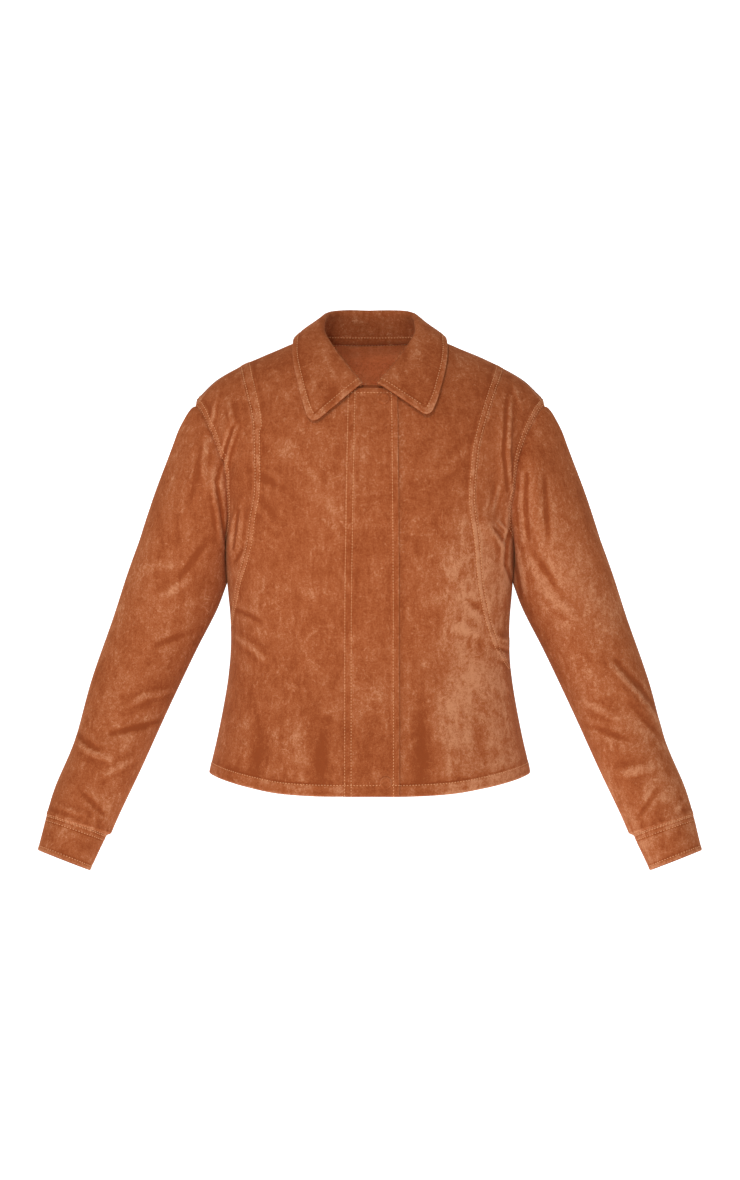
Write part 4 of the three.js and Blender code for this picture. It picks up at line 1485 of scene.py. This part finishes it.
@dataclass
class Collar(ClothPiece):
    """Collar, one folded double layer with its stand inside the neck."""

    step: float = 2.0
    row: float = 9.0
    corner: tuple[float, float] = (18.0, 13.0)

    def seat_edge(self, seat: float) -> tuple[Array, Array]:
        """Direction and point of the neckline: seat 0 at the nape, 1 at the shoulder, 2 at the end."""
        face = Face.BACK if seat < 1 else Face.FRONT
        end = BODY.neck_share(COLLAR_END_X)
        share = max(seat, 0) if seat < 1 else 1 - (seat - 1) * (1 - end)
        place = BODY.neck(face, np.array(share))
        return BODY.normal(face, place), BODY.point(face, place[0], place[1])

    def foot(self, seat: float, stand_top: Array) -> Array:
        """Foot of the stand, just off the rim of the neckline."""
        normal, point = self.seat_edge(seat)
        ahead = self.seat_edge(min(seat + 0.05, 2))[1]
        behind = self.seat_edge(max(seat - 0.05, 0))[1]
        onward = unit(np.cross(normal, ahead - behind))
        middle = point - normal * CLOTH / 2
        stand = unit(stand_top - middle)
        onward = onward if onward @ stand >= 0 else -onward
        lean = math.sqrt(max(1 - (stand @ onward) ** 2, 0))
        return middle + onward * (COLLAR_SEAT + COLLAR_CLOTH / 2 * lean)

    def line(self, share: float, columns: list[Curve]) -> Array:
        """Middle line of the section, from the neck seam over the roll to the outer edge."""
        sign = -1 if share < 0 else 1
        at = abs(share) * (len(COLLAR_SECTIONS) - 1)
        seat, roll_x, roll_y, roll_z, edge_x, over = [float(c(at)) for c in columns]
        tip = min(max((abs(share) - 0.7) / 0.3, 0), 1)
        over += sign * 3.6 * tip * tip
        face = Face.BACK if over > 0 else Face.FRONT
        level = SHOULDER_LEVEL - abs(over)
        place = np.array([float(BODY.around_at(edge_x, level)), level])
        out = BODY.normal(face, place)
        edge = BODY.point(face, place[0], place[1]) + out * LEAF_LIFT
        top = np.array([roll_x, roll_y, roll_z])
        fall = unit(edge - top)
        out = unit(out - fall * (out @ fall))
        stand_top = top - out * ROLL_RADIUS
        fall_top = top + out * ROLL_RADIUS
        foot = self.foot(seat, stand_top)
        line = [
            foot,
            (foot + stand_top) / 2,
            stand_top,
            top - fall * ROLL_RADIUS * 0.9,
            fall_top,
            fall_top + (edge - fall_top) * 0.3 + out * LEAF_BULGE * 0.9,
            fall_top + (edge - fall_top) * 0.65 + out * LEAF_BULGE,
            edge,
        ]
        return np.array(line) * [sign, 1, 1]

    def middle(self) -> Array:
        """Fine grid of the collar's middle surface: rows round the neck, columns out to the edge."""
        keys = list(range(len(COLLAR_SECTIONS)))
        columns = [Curve(keys, [row[n] for row in COLLAR_SECTIONS]) for n in range(6)]
        shares = 2 * spaced(440.0, self.step) / 440.0 - 1
        lines = np.array([self.line(share, columns) for share in shares])
        keys = run(lines[len(lines) // 4])
        roll_at = keys[3]
        inner = roll_at * np.linspace(0, 1, 26)[:-1]
        outer = roll_at + spaced(keys[-1] - roll_at, self.step, False, True)
        fine = np.concatenate([inner, outer])
        return np.stack(
            [[Curve(list(keys), list(line[:, n]))(fine) for n in range(3)] for line in lines]
        ).transpose(0, 2, 1)

    def rounded(self, grid: Array) -> Array:
        """Grid with its two outer corners rounded off."""
        sheet = Sheet(grid, grid)
        left, right = sheet.from_rows()
        _, edge = sheet.from_columns()
        onward = unit(np.gradient(grid, axis=0))
        outward = unit(np.gradient(grid, axis=1))
        points = grid
        for far, size, sign in ((left, self.corner[0], -1), (right, self.corner[1], 1)):
            p = np.clip(1 - far / size, 0, 1)
            q = np.clip(1 - edge / size, 0, 1)
            slide = p * (1 - np.sqrt(1 - q * q / 2)) * size * -sign
            sink = q * (1 - np.sqrt(1 - p * p / 2)) * size
            points = points + onward * slide[..., None] - outward * sink[..., None]
        return points

    def build(self, finish: bpy.types.Material) -> Made:
        """Builds the collar.

        Args:
            finish: material.

        Returns:
            The finished piece.
        """
        grid = self.rounded(self.middle())
        plain = Sheet.over(grid)
        sideways = np.array([0.0, -1.0, 0.4])
        plain = Sheet(plain.points, plain.out * np.sign(np.sum(plain.out[:, -12:] * sideways)))
        left, right = plain.from_rows()
        foot, edge = plain.from_columns()
        ends = np.minimum(left, right)
        free = np.minimum(edge, ends)
        leaf = 1 / (1 + np.exp(-(foot - foot[:, -1:] * 0.45) / 2.0))
        x, z = plain.points[..., 0], plain.points[..., 2]
        soft = waves(101, x, z, 62.0, 0.5) * leaf * np.clip(edge / 12 + 0.4, 0, 1)
        front = soft + leaf * (groove(free, self.row, 1.0, 0.5) + band(free, self.row, 0.35, 1.4))
        front = front + leaf * pucker(x + z, free, self.row, 7.0, 0.14, 103)
        rim = roll(edge, 1.25) + roll(ends, 1.25)
        outer = plain.raised(COLLAR_CLOTH / 2 + np.maximum(front + rim, -1.25))
        inner = plain.moved(-COLLAR_CLOTH / 2 - np.maximum(rim, -1.2) + soft)
        piece = MeshKit.shell(self.name, outer.points, inner, False, finish, front + rim)
        return self.declare(Made(piece, outer, self.tracks(outer)))

    def tracks(self, outer: Sheet) -> list[Track]:
        """Stitches inside the two ends and the outer edge of the leaf."""
        left, right = outer.from_rows()
        _, edge = outer.from_columns()
        half = outer.points.shape[1] // 2
        first = Track.along(outer, left, self.row, slice(half, None))
        last = Track.along(outer, right, self.row, slice(half, None))
        side = Track.beside(outer, edge, self.row)
        inside = [np.interp(self.row, far[:, -8], np.arange(len(far))) for far in (left, right[::-1])]
        low, high = int(inside[0]) + 1, len(side.points) - int(inside[1]) - 1
        kept = []
        for track in (first, last):
            stop = len(track.points) - int(self.row / self.step) - 5
            kept.append(Track(track.points[:stop], track.out[:stop]))
        return [*kept, Track(side.points[low:high], side.out[low:high])]


@dataclass
class Placket(ClothPiece):
    """Placket, sewn on at its left and free at its right, over both fronts."""

    levels: tuple[float, ...] = (-537.5, -322, -199, -120, -46)
    left: tuple[float, ...] = (-32, -31.6, -30, -28.6, -27.2)
    right: tuple[float, ...] = (36, 35.4, 34.8, 34.2, 33.2)
    top: float = -45.5
    left_row: float = 9.8
    right_row: float = 8.6
    top_row: float = 7.5
    step: float = 2.4

    def build(self, finish: bpy.types.Material) -> Made:
        """Builds the placket.

        Args:
            finish: material.

        Returns:
            The finished piece.
        """
        height = self.top - HEM_FRONT_Z
        z = HEM_FRONT_Z + spaced(height, self.step)
        across = spaced(68.5, 1.4) / 68.5
        ends = [Curve(list(self.levels), list(edge))(z) for edge in (self.left, self.right)]
        x = ends[0][:, None] + (ends[1] - ends[0])[:, None] * across[None, :]
        places = BODY.place(Face.FRONT, x, np.broadcast_to(z[:, None], x.shape))
        plain = Sheet.over(BODY.cloth(Face.FRONT, places), BODY.normal(Face.FRONT, places))
        seam, edge = plain.from_columns()
        hem, top = plain.from_rows()
        sewn = np.clip(seam / 5.0, 0, 1)
        rise = 0.9 + (LAY_GAP + PLACKET_CLOTH - 0.9) * sewn * sewn * (3 - 2 * sewn)
        up = rise + roll(edge, 1.7) + roll(top, 1.5) + roll(hem, 1.5) + 0.5 * roll(seam, 1.0)
        up = up - 0.45 * np.exp(-(((seam - self.left_row) / 0.9) ** 2))
        up = up + groove(edge, self.right_row, 0.9, 0.5) + groove(top, self.top_row, 0.9, 0.45)
        up = up + groove(seam, 1.4, 0.8, 0.3) + band(edge, self.right_row, 0.3) + groove(hem, 15.0, 1.0, 0.4)
        up = up + pucker(plain.points[..., 2], edge, self.right_row, 8.0, 0.18, 111)
        up = up + pucker(plain.points[..., 2], seam, self.left_row, 8.0, 0.18, 113)
        up = up + waves(115, plain.points[..., 0], plain.points[..., 2] * 1.3, 70.0, 0.18)
        outer = plain.raised(np.maximum(up, 0.6))
        inner = plain.moved(0.25)
        # Lighter lines along the seam, the edges and beside the stitch rows; the seam grooves in up - rise
        # come out darker as painted shade.
        light = -groove(seam, 0.8, 1.2, 1) - groove(seam, self.left_row + 0.6, 1.1, 0.8)
        light = light - groove(edge, 0, 1.3, 1) - groove(edge, self.right_row + 0.5, 1.1, 0.7)
        light = light - groove(top, 0, 1.3, 1) - groove(top, self.top_row, 1.1, 0.7)
        relief = 0.3 * light + 0.35 * (up - rise)
        piece = MeshKit.shell(self.name, outer.points, inner, False, finish, relief)
        seam, edge = outer.from_columns()
        hem, top = outer.from_rows()
        tracks = [
            Track.beside(outer, seam, 1.4),
            Track.beside(outer, seam, self.left_row),
            Track.beside(outer, edge, self.right_row),
            Track.along(outer, top, self.top_row),
            Track.along(outer, hem, 15.0),
        ]
        return self.declare(Made(piece, outer, tracks))


@dataclass
class SnapCap:
    """Low round cap of suede pressed over a snap."""

    name: str
    x: float
    z: float
    radius: float = 7.8
    high: float = 1.5
    dip: float = 0.5

    def build(self, finish: bpy.types.Material) -> bpy.types.Object:
        """Builds the cap on the placket.

        Args:
            finish: material.

        Returns:
            The cap.
        """
        place = BODY.place(Face.FRONT, self.x, self.z)
        normal = BODY.normal(Face.FRONT, place)
        seat = BODY.cloth(Face.FRONT, place, LAY_GAP + PLACKET_CLOTH - 0.25)
        side = unit(np.cross(normal, [0.0, 0.0, 1.0]))
        up = np.cross(side, normal)
        rings = np.linspace(0.02, 1, 26)
        turns = np.linspace(0, 2 * math.pi, 49)[:-1]
        dome = self.high * (1 - rings**5) ** 0.5 - self.dip * np.exp(-((rings / 0.55) ** 4)) + 0.1
        dome = dome + 0.06 * np.exp(-(((rings - 0.78) / 0.07) ** 2))
        disc = side * np.cos(turns)[:, None] + up * np.sin(turns)[:, None]
        points = seat + disc[None] * (rings * self.radius)[:, None, None] + normal * dome[:, None, None]
        under = seat + disc[None] * (rings * self.radius)[:, None, None]
        # Lighter ring near the rim of the cap, partly rubbed nap and partly painted highlight, and painted
        # shade in its dipped centre.
        light = 0.34 * np.exp(-(((rings - 0.86) / 0.09) ** 2)) - 0.1 * np.exp(-((rings / 0.5) ** 4))
        relief = np.repeat(light[:, None], len(turns), axis=1)
        cap = MeshKit.shell(self.name, points, under, True, finish, relief)
        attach(cap, "root")
        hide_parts(self.name)
        return cap


class Socket:
    """Shader value that can be used in Python expressions."""

    def __init__(self, nodes: "ShaderNodes", socket: bpy.types.NodeSocket) -> None:
        """Keeps the output of a node.

        Args:
            nodes: node tree that the value belongs to.
            socket: output of a node.
        """
        self.nodes = nodes
        self.socket = socket

    def math(self, operation: str, *others: "Socket | float") -> "Socket":
        """Math node of this value and others."""
        return self.nodes.add("ShaderNodeMath", {"operation": operation}, [self, *others])

    def __add__(self, other: "Socket | float") -> "Socket":
        """Sum."""
        return self.math("ADD", other)

    def __radd__(self, other: float) -> "Socket":
        """Sum with a number on the left."""
        return self.math("ADD", other)

    def __sub__(self, other: "Socket | float") -> "Socket":
        """Difference."""
        return self.math("SUBTRACT", other)

    def __rsub__(self, other: float) -> "Socket":
        """Difference from a number."""
        return self.nodes.add("ShaderNodeMath", {"operation": "SUBTRACT"}, [other, self])

    def __mul__(self, other: "Socket | float") -> "Socket":
        """Product."""
        return self.math("MULTIPLY", other)

    def __rmul__(self, other: float) -> "Socket":
        """Product with a number on the left."""
        return self.math("MULTIPLY", other)

    def __truediv__(self, other: "Socket | float") -> "Socket":
        """Quotient."""
        return self.math("DIVIDE", other)

    def __rtruediv__(self, other: float) -> "Socket":
        """Quotient of a number by this value."""
        return self.nodes.add("ShaderNodeMath", {"operation": "DIVIDE"}, [other, self])

    def __pow__(self, other: "Socket | float") -> "Socket":
        """Power."""
        return self.math("POWER", other)

    def step(self, low: float, high: float) -> "Socket":
        """Smooth step from 0 at low to 1 at high."""
        settings = {"interpolation_type": "SMOOTHSTEP"}
        values = {"Value": self, "From Min": low, "From Max": high}
        return self.nodes.add("ShaderNodeMapRange", settings, values)


class ShaderNodes:
    """Node tree of a material, built through one method."""

    def __init__(self, name: str) -> None:
        """Makes an empty material.

        Args:
            name: name of the material.
        """
        self.material = bpy.data.materials.new(name)
        self.material.use_nodes = True
        self.tree = self.material.node_tree
        self.tree.nodes.clear()

    def add(
        self,
        kind: str,
        settings: dict | None = None,
        values: dict | list | None = None,
        output: int | str = 0,
    ) -> Socket:
        """Adds a node, sets it up and links it.

        Args:
            kind: node type.
            settings: properties of the node, set first.
            values: numbers, colours or sockets for its inputs, by name or in order.
            output: output that is returned.

        Returns:
            The chosen output.
        """
        node = self.tree.nodes.new(kind)
        for key, value in (settings or {}).items():
            setattr(node, key, value)
        pairs = values.items() if isinstance(values, dict) else enumerate(values or [])
        for key, value in pairs:
            if isinstance(value, Socket):
                self.tree.links.new(value.socket, node.inputs[key])
            else:
                node.inputs[key].default_value = value
        return Socket(self, node.outputs[output]) if node.outputs else None

    def mix(self, factor: Socket | float, first: "Socket | tuple", second: "Socket | tuple") -> Socket:
        """Colour between two colours."""
        settings = {"data_type": "RGBA"}
        return self.add("ShaderNodeMix", settings, {0: factor, 6: first, 7: second}, 2)

    def noise(
        self, where: Socket, scale: float, detail: float = 3.0, rough: float = 0.55, twist: float = 0.0
    ) -> Socket:
        """Noise value at a place."""
        values = {"Vector": where, "Scale": scale, "Detail": detail, "Roughness": rough, "Distortion": twist}
        return self.add("ShaderNodeTexNoise", None, values)

    def stretched(
        self, where: Socket, size: tuple[float, float, float], turn: tuple[float, float, float]
    ) -> Socket:
        """Place scaled and turned, for streaks."""
        return self.add("ShaderNodeMapping", None, {"Vector": where, "Rotation": turn, "Scale": size})


@dataclass(frozen=True)
class Suede:
    """Brushed suede: mottled nap, rubbed edges, painted shade in creases and grooves, a painted highlight on
    the lower right front, pale scratches and fine grain.
    """

    name: str = "suede"
    dark: tuple[float, float, float] = (0.268, 0.058, 0.016)
    middle: tuple[float, float, float] = (0.368, 0.098, 0.032)
    light: tuple[float, float, float] = (0.570, 0.240, 0.118)
    mottle: float = 1.15
    grain: float = 0.35
    sheen: float = 0.2

    def nap(self, nodes: ShaderNodes, where: Socket) -> Socket:
        """How light the nap lies at a place, about 0.5 on average."""
        clouds = nodes.noise(where, 11.0, 3.0, 0.6, 0.5)
        leaning = nodes.stretched(where, (1.0, 1.0, 0.6), (0.0, 0.35, 0.0))
        patches = nodes.noise(leaning, 36.0, 7.0, 0.68, 0.9)
        flecks = nodes.noise(nodes.stretched(where, (1.0, 1.0, 0.4), (0.0, -0.6, 0.0)), 130.0, 4.0, 0.7, 0.5)
        upright = nodes.stretched(where, (1.0, 1.0, 0.16), (0.0, -0.2, 0.0))
        streaks = nodes.noise(upright, 120.0, 4.0, 0.6, 0.3)
        level = nodes.stretched(where, (0.22, 1.0, 1.0), (0.0, 0.6, 0.0))
        crossed = nodes.noise(level, 100.0, 4.0, 0.6, 0.4)
        soft = (clouds - 0.5) * 0.8 + (patches - 0.5) * 1.2 + (flecks - 0.5) * 0.7
        soft = soft + (streaks - 0.5) * 0.55 + (crossed - 0.5) * 0.45
        return soft * self.mottle + 0.42

    def brushed(self, nodes: ShaderNodes, where: Socket) -> Socket:
        """Lighter patch on the lower right front, ragged at its border: partly nap lightened by brushing,
        partly painted highlight where the front turns towards the light.
        """
        x = nodes.add("ShaderNodeSeparateXYZ", None, {0: where}, 0)
        y = nodes.add("ShaderNodeSeparateXYZ", None, {0: where}, 1)
        z = nodes.add("ShaderNodeSeparateXYZ", None, {0: where}, 2)
        leaning = nodes.stretched(where, (1.0, 1.0, 0.45), (0.0, 0.25, 0.0))
        ragged = (nodes.noise(leaning, 26.0, 6.0, 0.68, 0.8) - 0.5) * 0.11
        side = (x + ragged).step(0.072, 0.118) * (1.0 - (x + ragged * 1.6).step(0.150, 0.21) * 0.6)
        height = (1.0 - (z + ragged).step(-0.26, -0.13)) * (1.0 - y.step(-0.06, -0.03))
        broken = nodes.noise(where, 70.0, 7.0, 0.70, 0.9).step(0.30, 0.62)
        return side * height * (broken * 0.42 + 0.2)

    def scuffs(self, nodes: ShaderNodes, where: Socket) -> Socket:
        """Ragged light marks, from small spots to patches."""
        leaning = nodes.stretched(where, (1.0, 1.0, 0.5), (0.0, 0.7, 0.0))
        wide = nodes.noise(leaning, 48.0, 7.0, 0.72, 1.2).step(0.53, 0.72)
        across = nodes.stretched(where, (1.0, 1.0, 0.5), (0.0, -0.5, 0.0))
        small = nodes.noise(across, 105.0, 6.0, 0.72, 0.8).step(0.55, 0.72)
        return wide * 0.6 + small * 0.45

    def scratches(self, nodes: ShaderNodes, where: Socket) -> Socket:
        """Thin pale creases at odd angles, short and broken."""
        lines = None
        for scale, thin, twist in ((27.0, 0.020, 0.9), (46.0, 0.030, 1.4), (71.0, 0.040, 1.0)):
            field = nodes.noise(where, scale, 3.0, 0.5, twist)
            line = 1.0 - ((field - 0.5).math("ABSOLUTE")).step(0.0, thin)
            kept = nodes.noise(where, scale * 1.3 + 3.0, 3.0, 0.6).step(0.53, 0.64)
            lines = line * kept if lines is None else lines + line * kept
        return lines.math("MINIMUM", 1.0)

    def build(self) -> bpy.types.Material:
        """Builds the material.

        Returns:
            The material.
        """
        nodes = ShaderNodes(self.name)
        where = nodes.add("ShaderNodeTexCoord", None, None, "Object")
        # Positive values lighten the nap where it is rubbed; negative values darken it as painted shade in
        # creases, seam grooves and rolled edges.
        wear_and_shade = nodes.add("ShaderNodeAttribute", {"attribute_name": "wear_and_shade"}, None, "Fac")
        rubbed = wear_and_shade.math("MAXIMUM", 0.0)
        painted_sunken_shade = (wear_and_shade * -1.0).math("MAXIMUM", 0.0)
        grain = nodes.noise(where, 900.0, 2.0, 0.6)
        fibre = nodes.noise(where, 330.0, 3.0, 0.6)
        scratches = self.scratches(nodes, where)
        # The lower right patch is partly nap lightened by brushing and partly painted highlight.
        level = self.nap(nodes, where) + self.brushed(nodes, where)
        level = level + (grain - 0.5) * 1.5 + (fibre - 0.5) * 1.1
        level = level + self.scuffs(nodes, where) * 0.46 + scratches * 0.36 + rubbed * 0.36 - painted_sunken_shade * 0.6
        low = nodes.mix(level.step(-0.1, 0.6), (*self.dark, 1), (*self.middle, 1))
        colour = nodes.mix(level.step(0.45, 1.4), low, (*self.light, 1))
        rough = 0.97 - rubbed * 0.1
        bumps = grain * 0.4 + fibre * 0.6 + nodes.noise(where, 120.0, 4.0, 0.6) * 1.4 + scratches * 0.5
        normal = nodes.add(
            "ShaderNodeBump", None, {"Strength": self.grain, "Distance": 0.0011, "Height": bumps}, "Normal"
        )
        shader = nodes.add(
            "ShaderNodeBsdfPrincipled",
            None,
            {
                "Base Color": colour,
                "Roughness": rough,
                "Specular IOR Level": 0.04,
                "Sheen Weight": self.sheen,
                "Sheen Roughness": 0.5,
                "Sheen Tint": (0.95, 0.42, 0.20, 1.0),
                "Normal": normal,
            },
        )
        nodes.add("ShaderNodeOutputMaterial", None, {"Surface": shader})
        return nodes.material


@dataclass(frozen=True)
class Plain:
    """Plain even finish, for thread and backdrop."""

    name: str
    colour: tuple[float, float, float]
    roughness: float = 0.8
    glow: float = 0.0

    def build(self) -> bpy.types.Material:
        """Builds the material.

        Returns:
            The material.
        """
        nodes = ShaderNodes(self.name)
        where = nodes.add("ShaderNodeTexCoord", None, None, "Object")
        twist = nodes.noise(where, 1400.0, 1.0)
        darker = tuple(0.82 * part for part in self.colour)
        even = (*self.colour, 1)
        base = even if self.glow else nodes.mix(twist, (*darker, 1), even)
        shader = nodes.add(
            "ShaderNodeBsdfPrincipled",
            None,
            {
                "Base Color": base,
                "Roughness": self.roughness,
                "Specular IOR Level": 0.08,
                "Emission Color": (*self.colour, 1),
                "Emission Strength": self.glow,
            },
        )
        nodes.add("ShaderNodeOutputMaterial", None, {"Surface": shader})
        return nodes.material


SIDES = (Side.LEFT, Side.RIGHT)


@dataclass
class Jacket:
    """Whole jacket, piece by piece."""

    suede: Suede = Suede()
    facing: Suede = Suede(name="suede_facing", mottle=1.0)
    # Lighter copy of the suede for the inside of the back: painted light where the inside lies in shade.
    inner: Suede = Suede("suede_inside_painted_light", (0.62, 0.150, 0.046), (0.80, 0.235, 0.085), (0.94, 0.42, 0.21), 0.7)
    thread: Plain = Plain("thread", (0.80, 0.38, 0.18))

    def build(self) -> None:
        """Builds every piece in order."""
        suede = self.suede.build()
        facing = self.facing.build()
        thread = self.thread.build()
        made = self.body(suede)
        # Lighter suede for the inside of the back, painted light.
        inner = self.inner.build()
        cut = Cut(0.50, 0.60, 0.262)
        back = Back("back_cloth", "back", cut, "hung", ("collar_cloth",), lit_inside=inner).build(suede)
        made.append(back)
        cut = Cut(0.155, 0.0115)
        strip = NeckFacing("neck_facing_strip", "neck_facing", cut, "laid", ("back_cloth",), "suede_facing")
        cut = Cut(0.46, 0.105)
        collar = Collar("collar_cloth", "collar", cut, "folded", ("back_cloth",)).build(suede)
        made.append(strip.build(back, collar, facing))
        self.sew("stitches_body", made, thread)
        arms = self.arms(suede)
        self.sew("stitches_arms", arms, thread)
        cut = Cut(0.0685, 0.495)
        placket = Placket("placket_cloth", "placket", cut, "laid", ("front_left_cloth",)).build(suede)
        self.sew("stitches_collar_placket", [collar, placket], thread)
        for name, x, z in (("snap_top", 16.0, -58.0), ("snap_bottom", 19.0, -520.0)):
            SnapCap(name, x, z).build(facing)

    def body(self, suede: bpy.types.Material) -> list[Made]:
        """Builds the fronts and the side fronts.

        Args:
            suede: material.

        Returns:
            The finished pieces.
        """
        made = []
        for side in SIDES:
            name = f"front_{side.word}"
            cut = Cut(0.24, 0.60, 0.0968 if side is Side.LEFT else 0.1086)
            front = Front(f"{name}_cloth", name, cut, "hung", ("collar_cloth",), side=side)
            made.append(front.build(suede))
            name = f"side_front_{side.word}"
            cut = Cut(0.075, 0.40, 0.0195) if side is Side.LEFT else Cut(0.085, 0.45, 0.0278)
            under = (f"front_{side.word}_cloth",)
            made.append(SideFront(f"{name}_cloth", name, cut, "hung", under, side=side).build(suede))
        return made

    def arms(self, suede: bpy.types.Material) -> list[Made]:
        """Builds the sleeves and the cuffs.

        Args:
            suede: material.

        Returns:
            The finished pieces.
        """
        made = []
        for side in SIDES:
            name = f"sleeve_{side.word}"
            over = (f"side_front_{side.word}_cloth", "back_cloth")
            cut = Cut(0.40, 0.52, 0.161)
            made.append(Sleeve(f"{name}_cloth", name, cut, "hung", over, side=side).build(suede))
            name = f"cuff_{side.word}"
            over = (f"sleeve_{side.word}_cloth",)
            made.append(Cuff(f"{name}_cloth", name, Cut(0.235, 0.045), "hung", over, side=side).build(suede))
        return made

    def sew(self, name: str, made: list[Made], thread: bpy.types.Material) -> None:
        """Adds the stitches of some pieces.

        Args:
            name: name of the stitches.
            made: finished pieces.
            thread: material of the thread.
        """
        tracks = [track for one in made for track in one.tracks]
        piece = StitchRows().build(name, tracks, thread)
        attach(piece, "root")
        LOG.info("%s: %d faces", name, len(piece.data.polygons))


@dataclass
class Studio:
    """Pale seamless backdrop, soft lights and the camera."""

    floor_z: float = -1.35
    bend: float = 0.8
    back_y: float = 4.6
    target: tuple[float, float, float] = (0.0, 0.0, -0.300)
    distance: float = 3.3
    elevation: float = 6.5
    lens: float = 80.54

    def backdrop(self) -> None:
        """Adds the floor that bends up into a wall."""
        line = [(-5.0, self.floor_z), (self.back_y - self.bend, self.floor_z)]
        for n in range(1, 16):
            turn = n / 16 * QUARTER
            y = self.back_y - self.bend + self.bend * math.sin(turn)
            line.append((y, self.floor_z + self.bend * (1 - math.cos(turn))))
        line += [(self.back_y, self.floor_z + self.bend), (self.back_y, 4.0)]
        half = 5.0
        points = np.array([[x, y, z] for y, z in line for x in (-half, half)]) / MM
        faces = np.array([[2 * n, 2 * n + 1, 2 * n + 3, 2 * n + 2] for n in range(len(line) - 1)])
        finish = Plain("backdrop", (0.93, 0.93, 0.93), 0.95, 0.8).build()
        MeshKit.add("backdrop", points, faces, finish)

    def light(self, name: str, place: tuple[float, float, float], size: float, power: float) -> None:
        """Adds a soft square light that looks at the jacket.

        Args:
            name: name of the light.
            place: position in metres.
            size: side in metres.
            power: power in watts.
        """
        data = bpy.data.lights.new(name, "AREA")
        data.size = size
        data.energy = power
        lamp = bpy.data.objects.new(name, data)
        lamp.location = place
        lamp.rotation_euler = (Vector(self.target) - Vector(place)).to_track_quat("-Z", "Y").to_euler()
        bpy.context.scene.collection.objects.link(lamp)

    def camera(self) -> None:
        """Adds the camera of the photograph's view."""
        data = bpy.data.cameras.new("camera")
        data.sensor_fit = "VERTICAL"
        data.sensor_height = 36.0
        data.lens = self.lens
        data.clip_end = 30.0
        camera = bpy.data.objects.new("camera", data)
        turn = math.radians(self.elevation)
        away = Vector((0.0, -math.cos(turn), math.sin(turn))) * self.distance
        camera.location = Vector(self.target) + away
        camera.rotation_euler = (-away).to_track_quat("-Z", "Y").to_euler()
        bpy.context.scene.collection.objects.link(camera)
        bpy.context.scene.camera = camera

    def build(self) -> None:
        """Builds the backdrop, the lights, the surroundings and the camera."""
        self.backdrop()
        self.light("front", (-0.2, -3.4, 0.15), 0.9, 23.0)
        self.light("key", (-0.5, -2.0, 1.8), 0.4, 22.5)
        self.light("side", (-2.4, -1.2, 0.6), 1.2, 9.0)
        world = bpy.data.worlds.new("surroundings")
        world.use_nodes = True
        world.node_tree.nodes["Background"].inputs["Color"].default_value = (1.0, 1.0, 1.0, 1.0)
        world.node_tree.nodes["Background"].inputs["Strength"].default_value = 0.33
        bpy.context.scene.world = world
        bpy.context.scene.view_settings.view_transform = "Standard"
        self.camera()


def main() -> None:
    """Builds the jacket and its studio."""
    logging.basicConfig(level=logging.INFO, format="%(message)s")
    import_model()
    Jacket().build()
    Studio().build()
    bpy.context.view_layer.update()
    meshes = [piece.data for piece in bpy.context.scene.objects if piece.type == "MESH"]
    LOG.info("faces in all: %d", sum(len(mesh.polygons) for mesh in meshes))


if __name__ == "__main__":
    main()
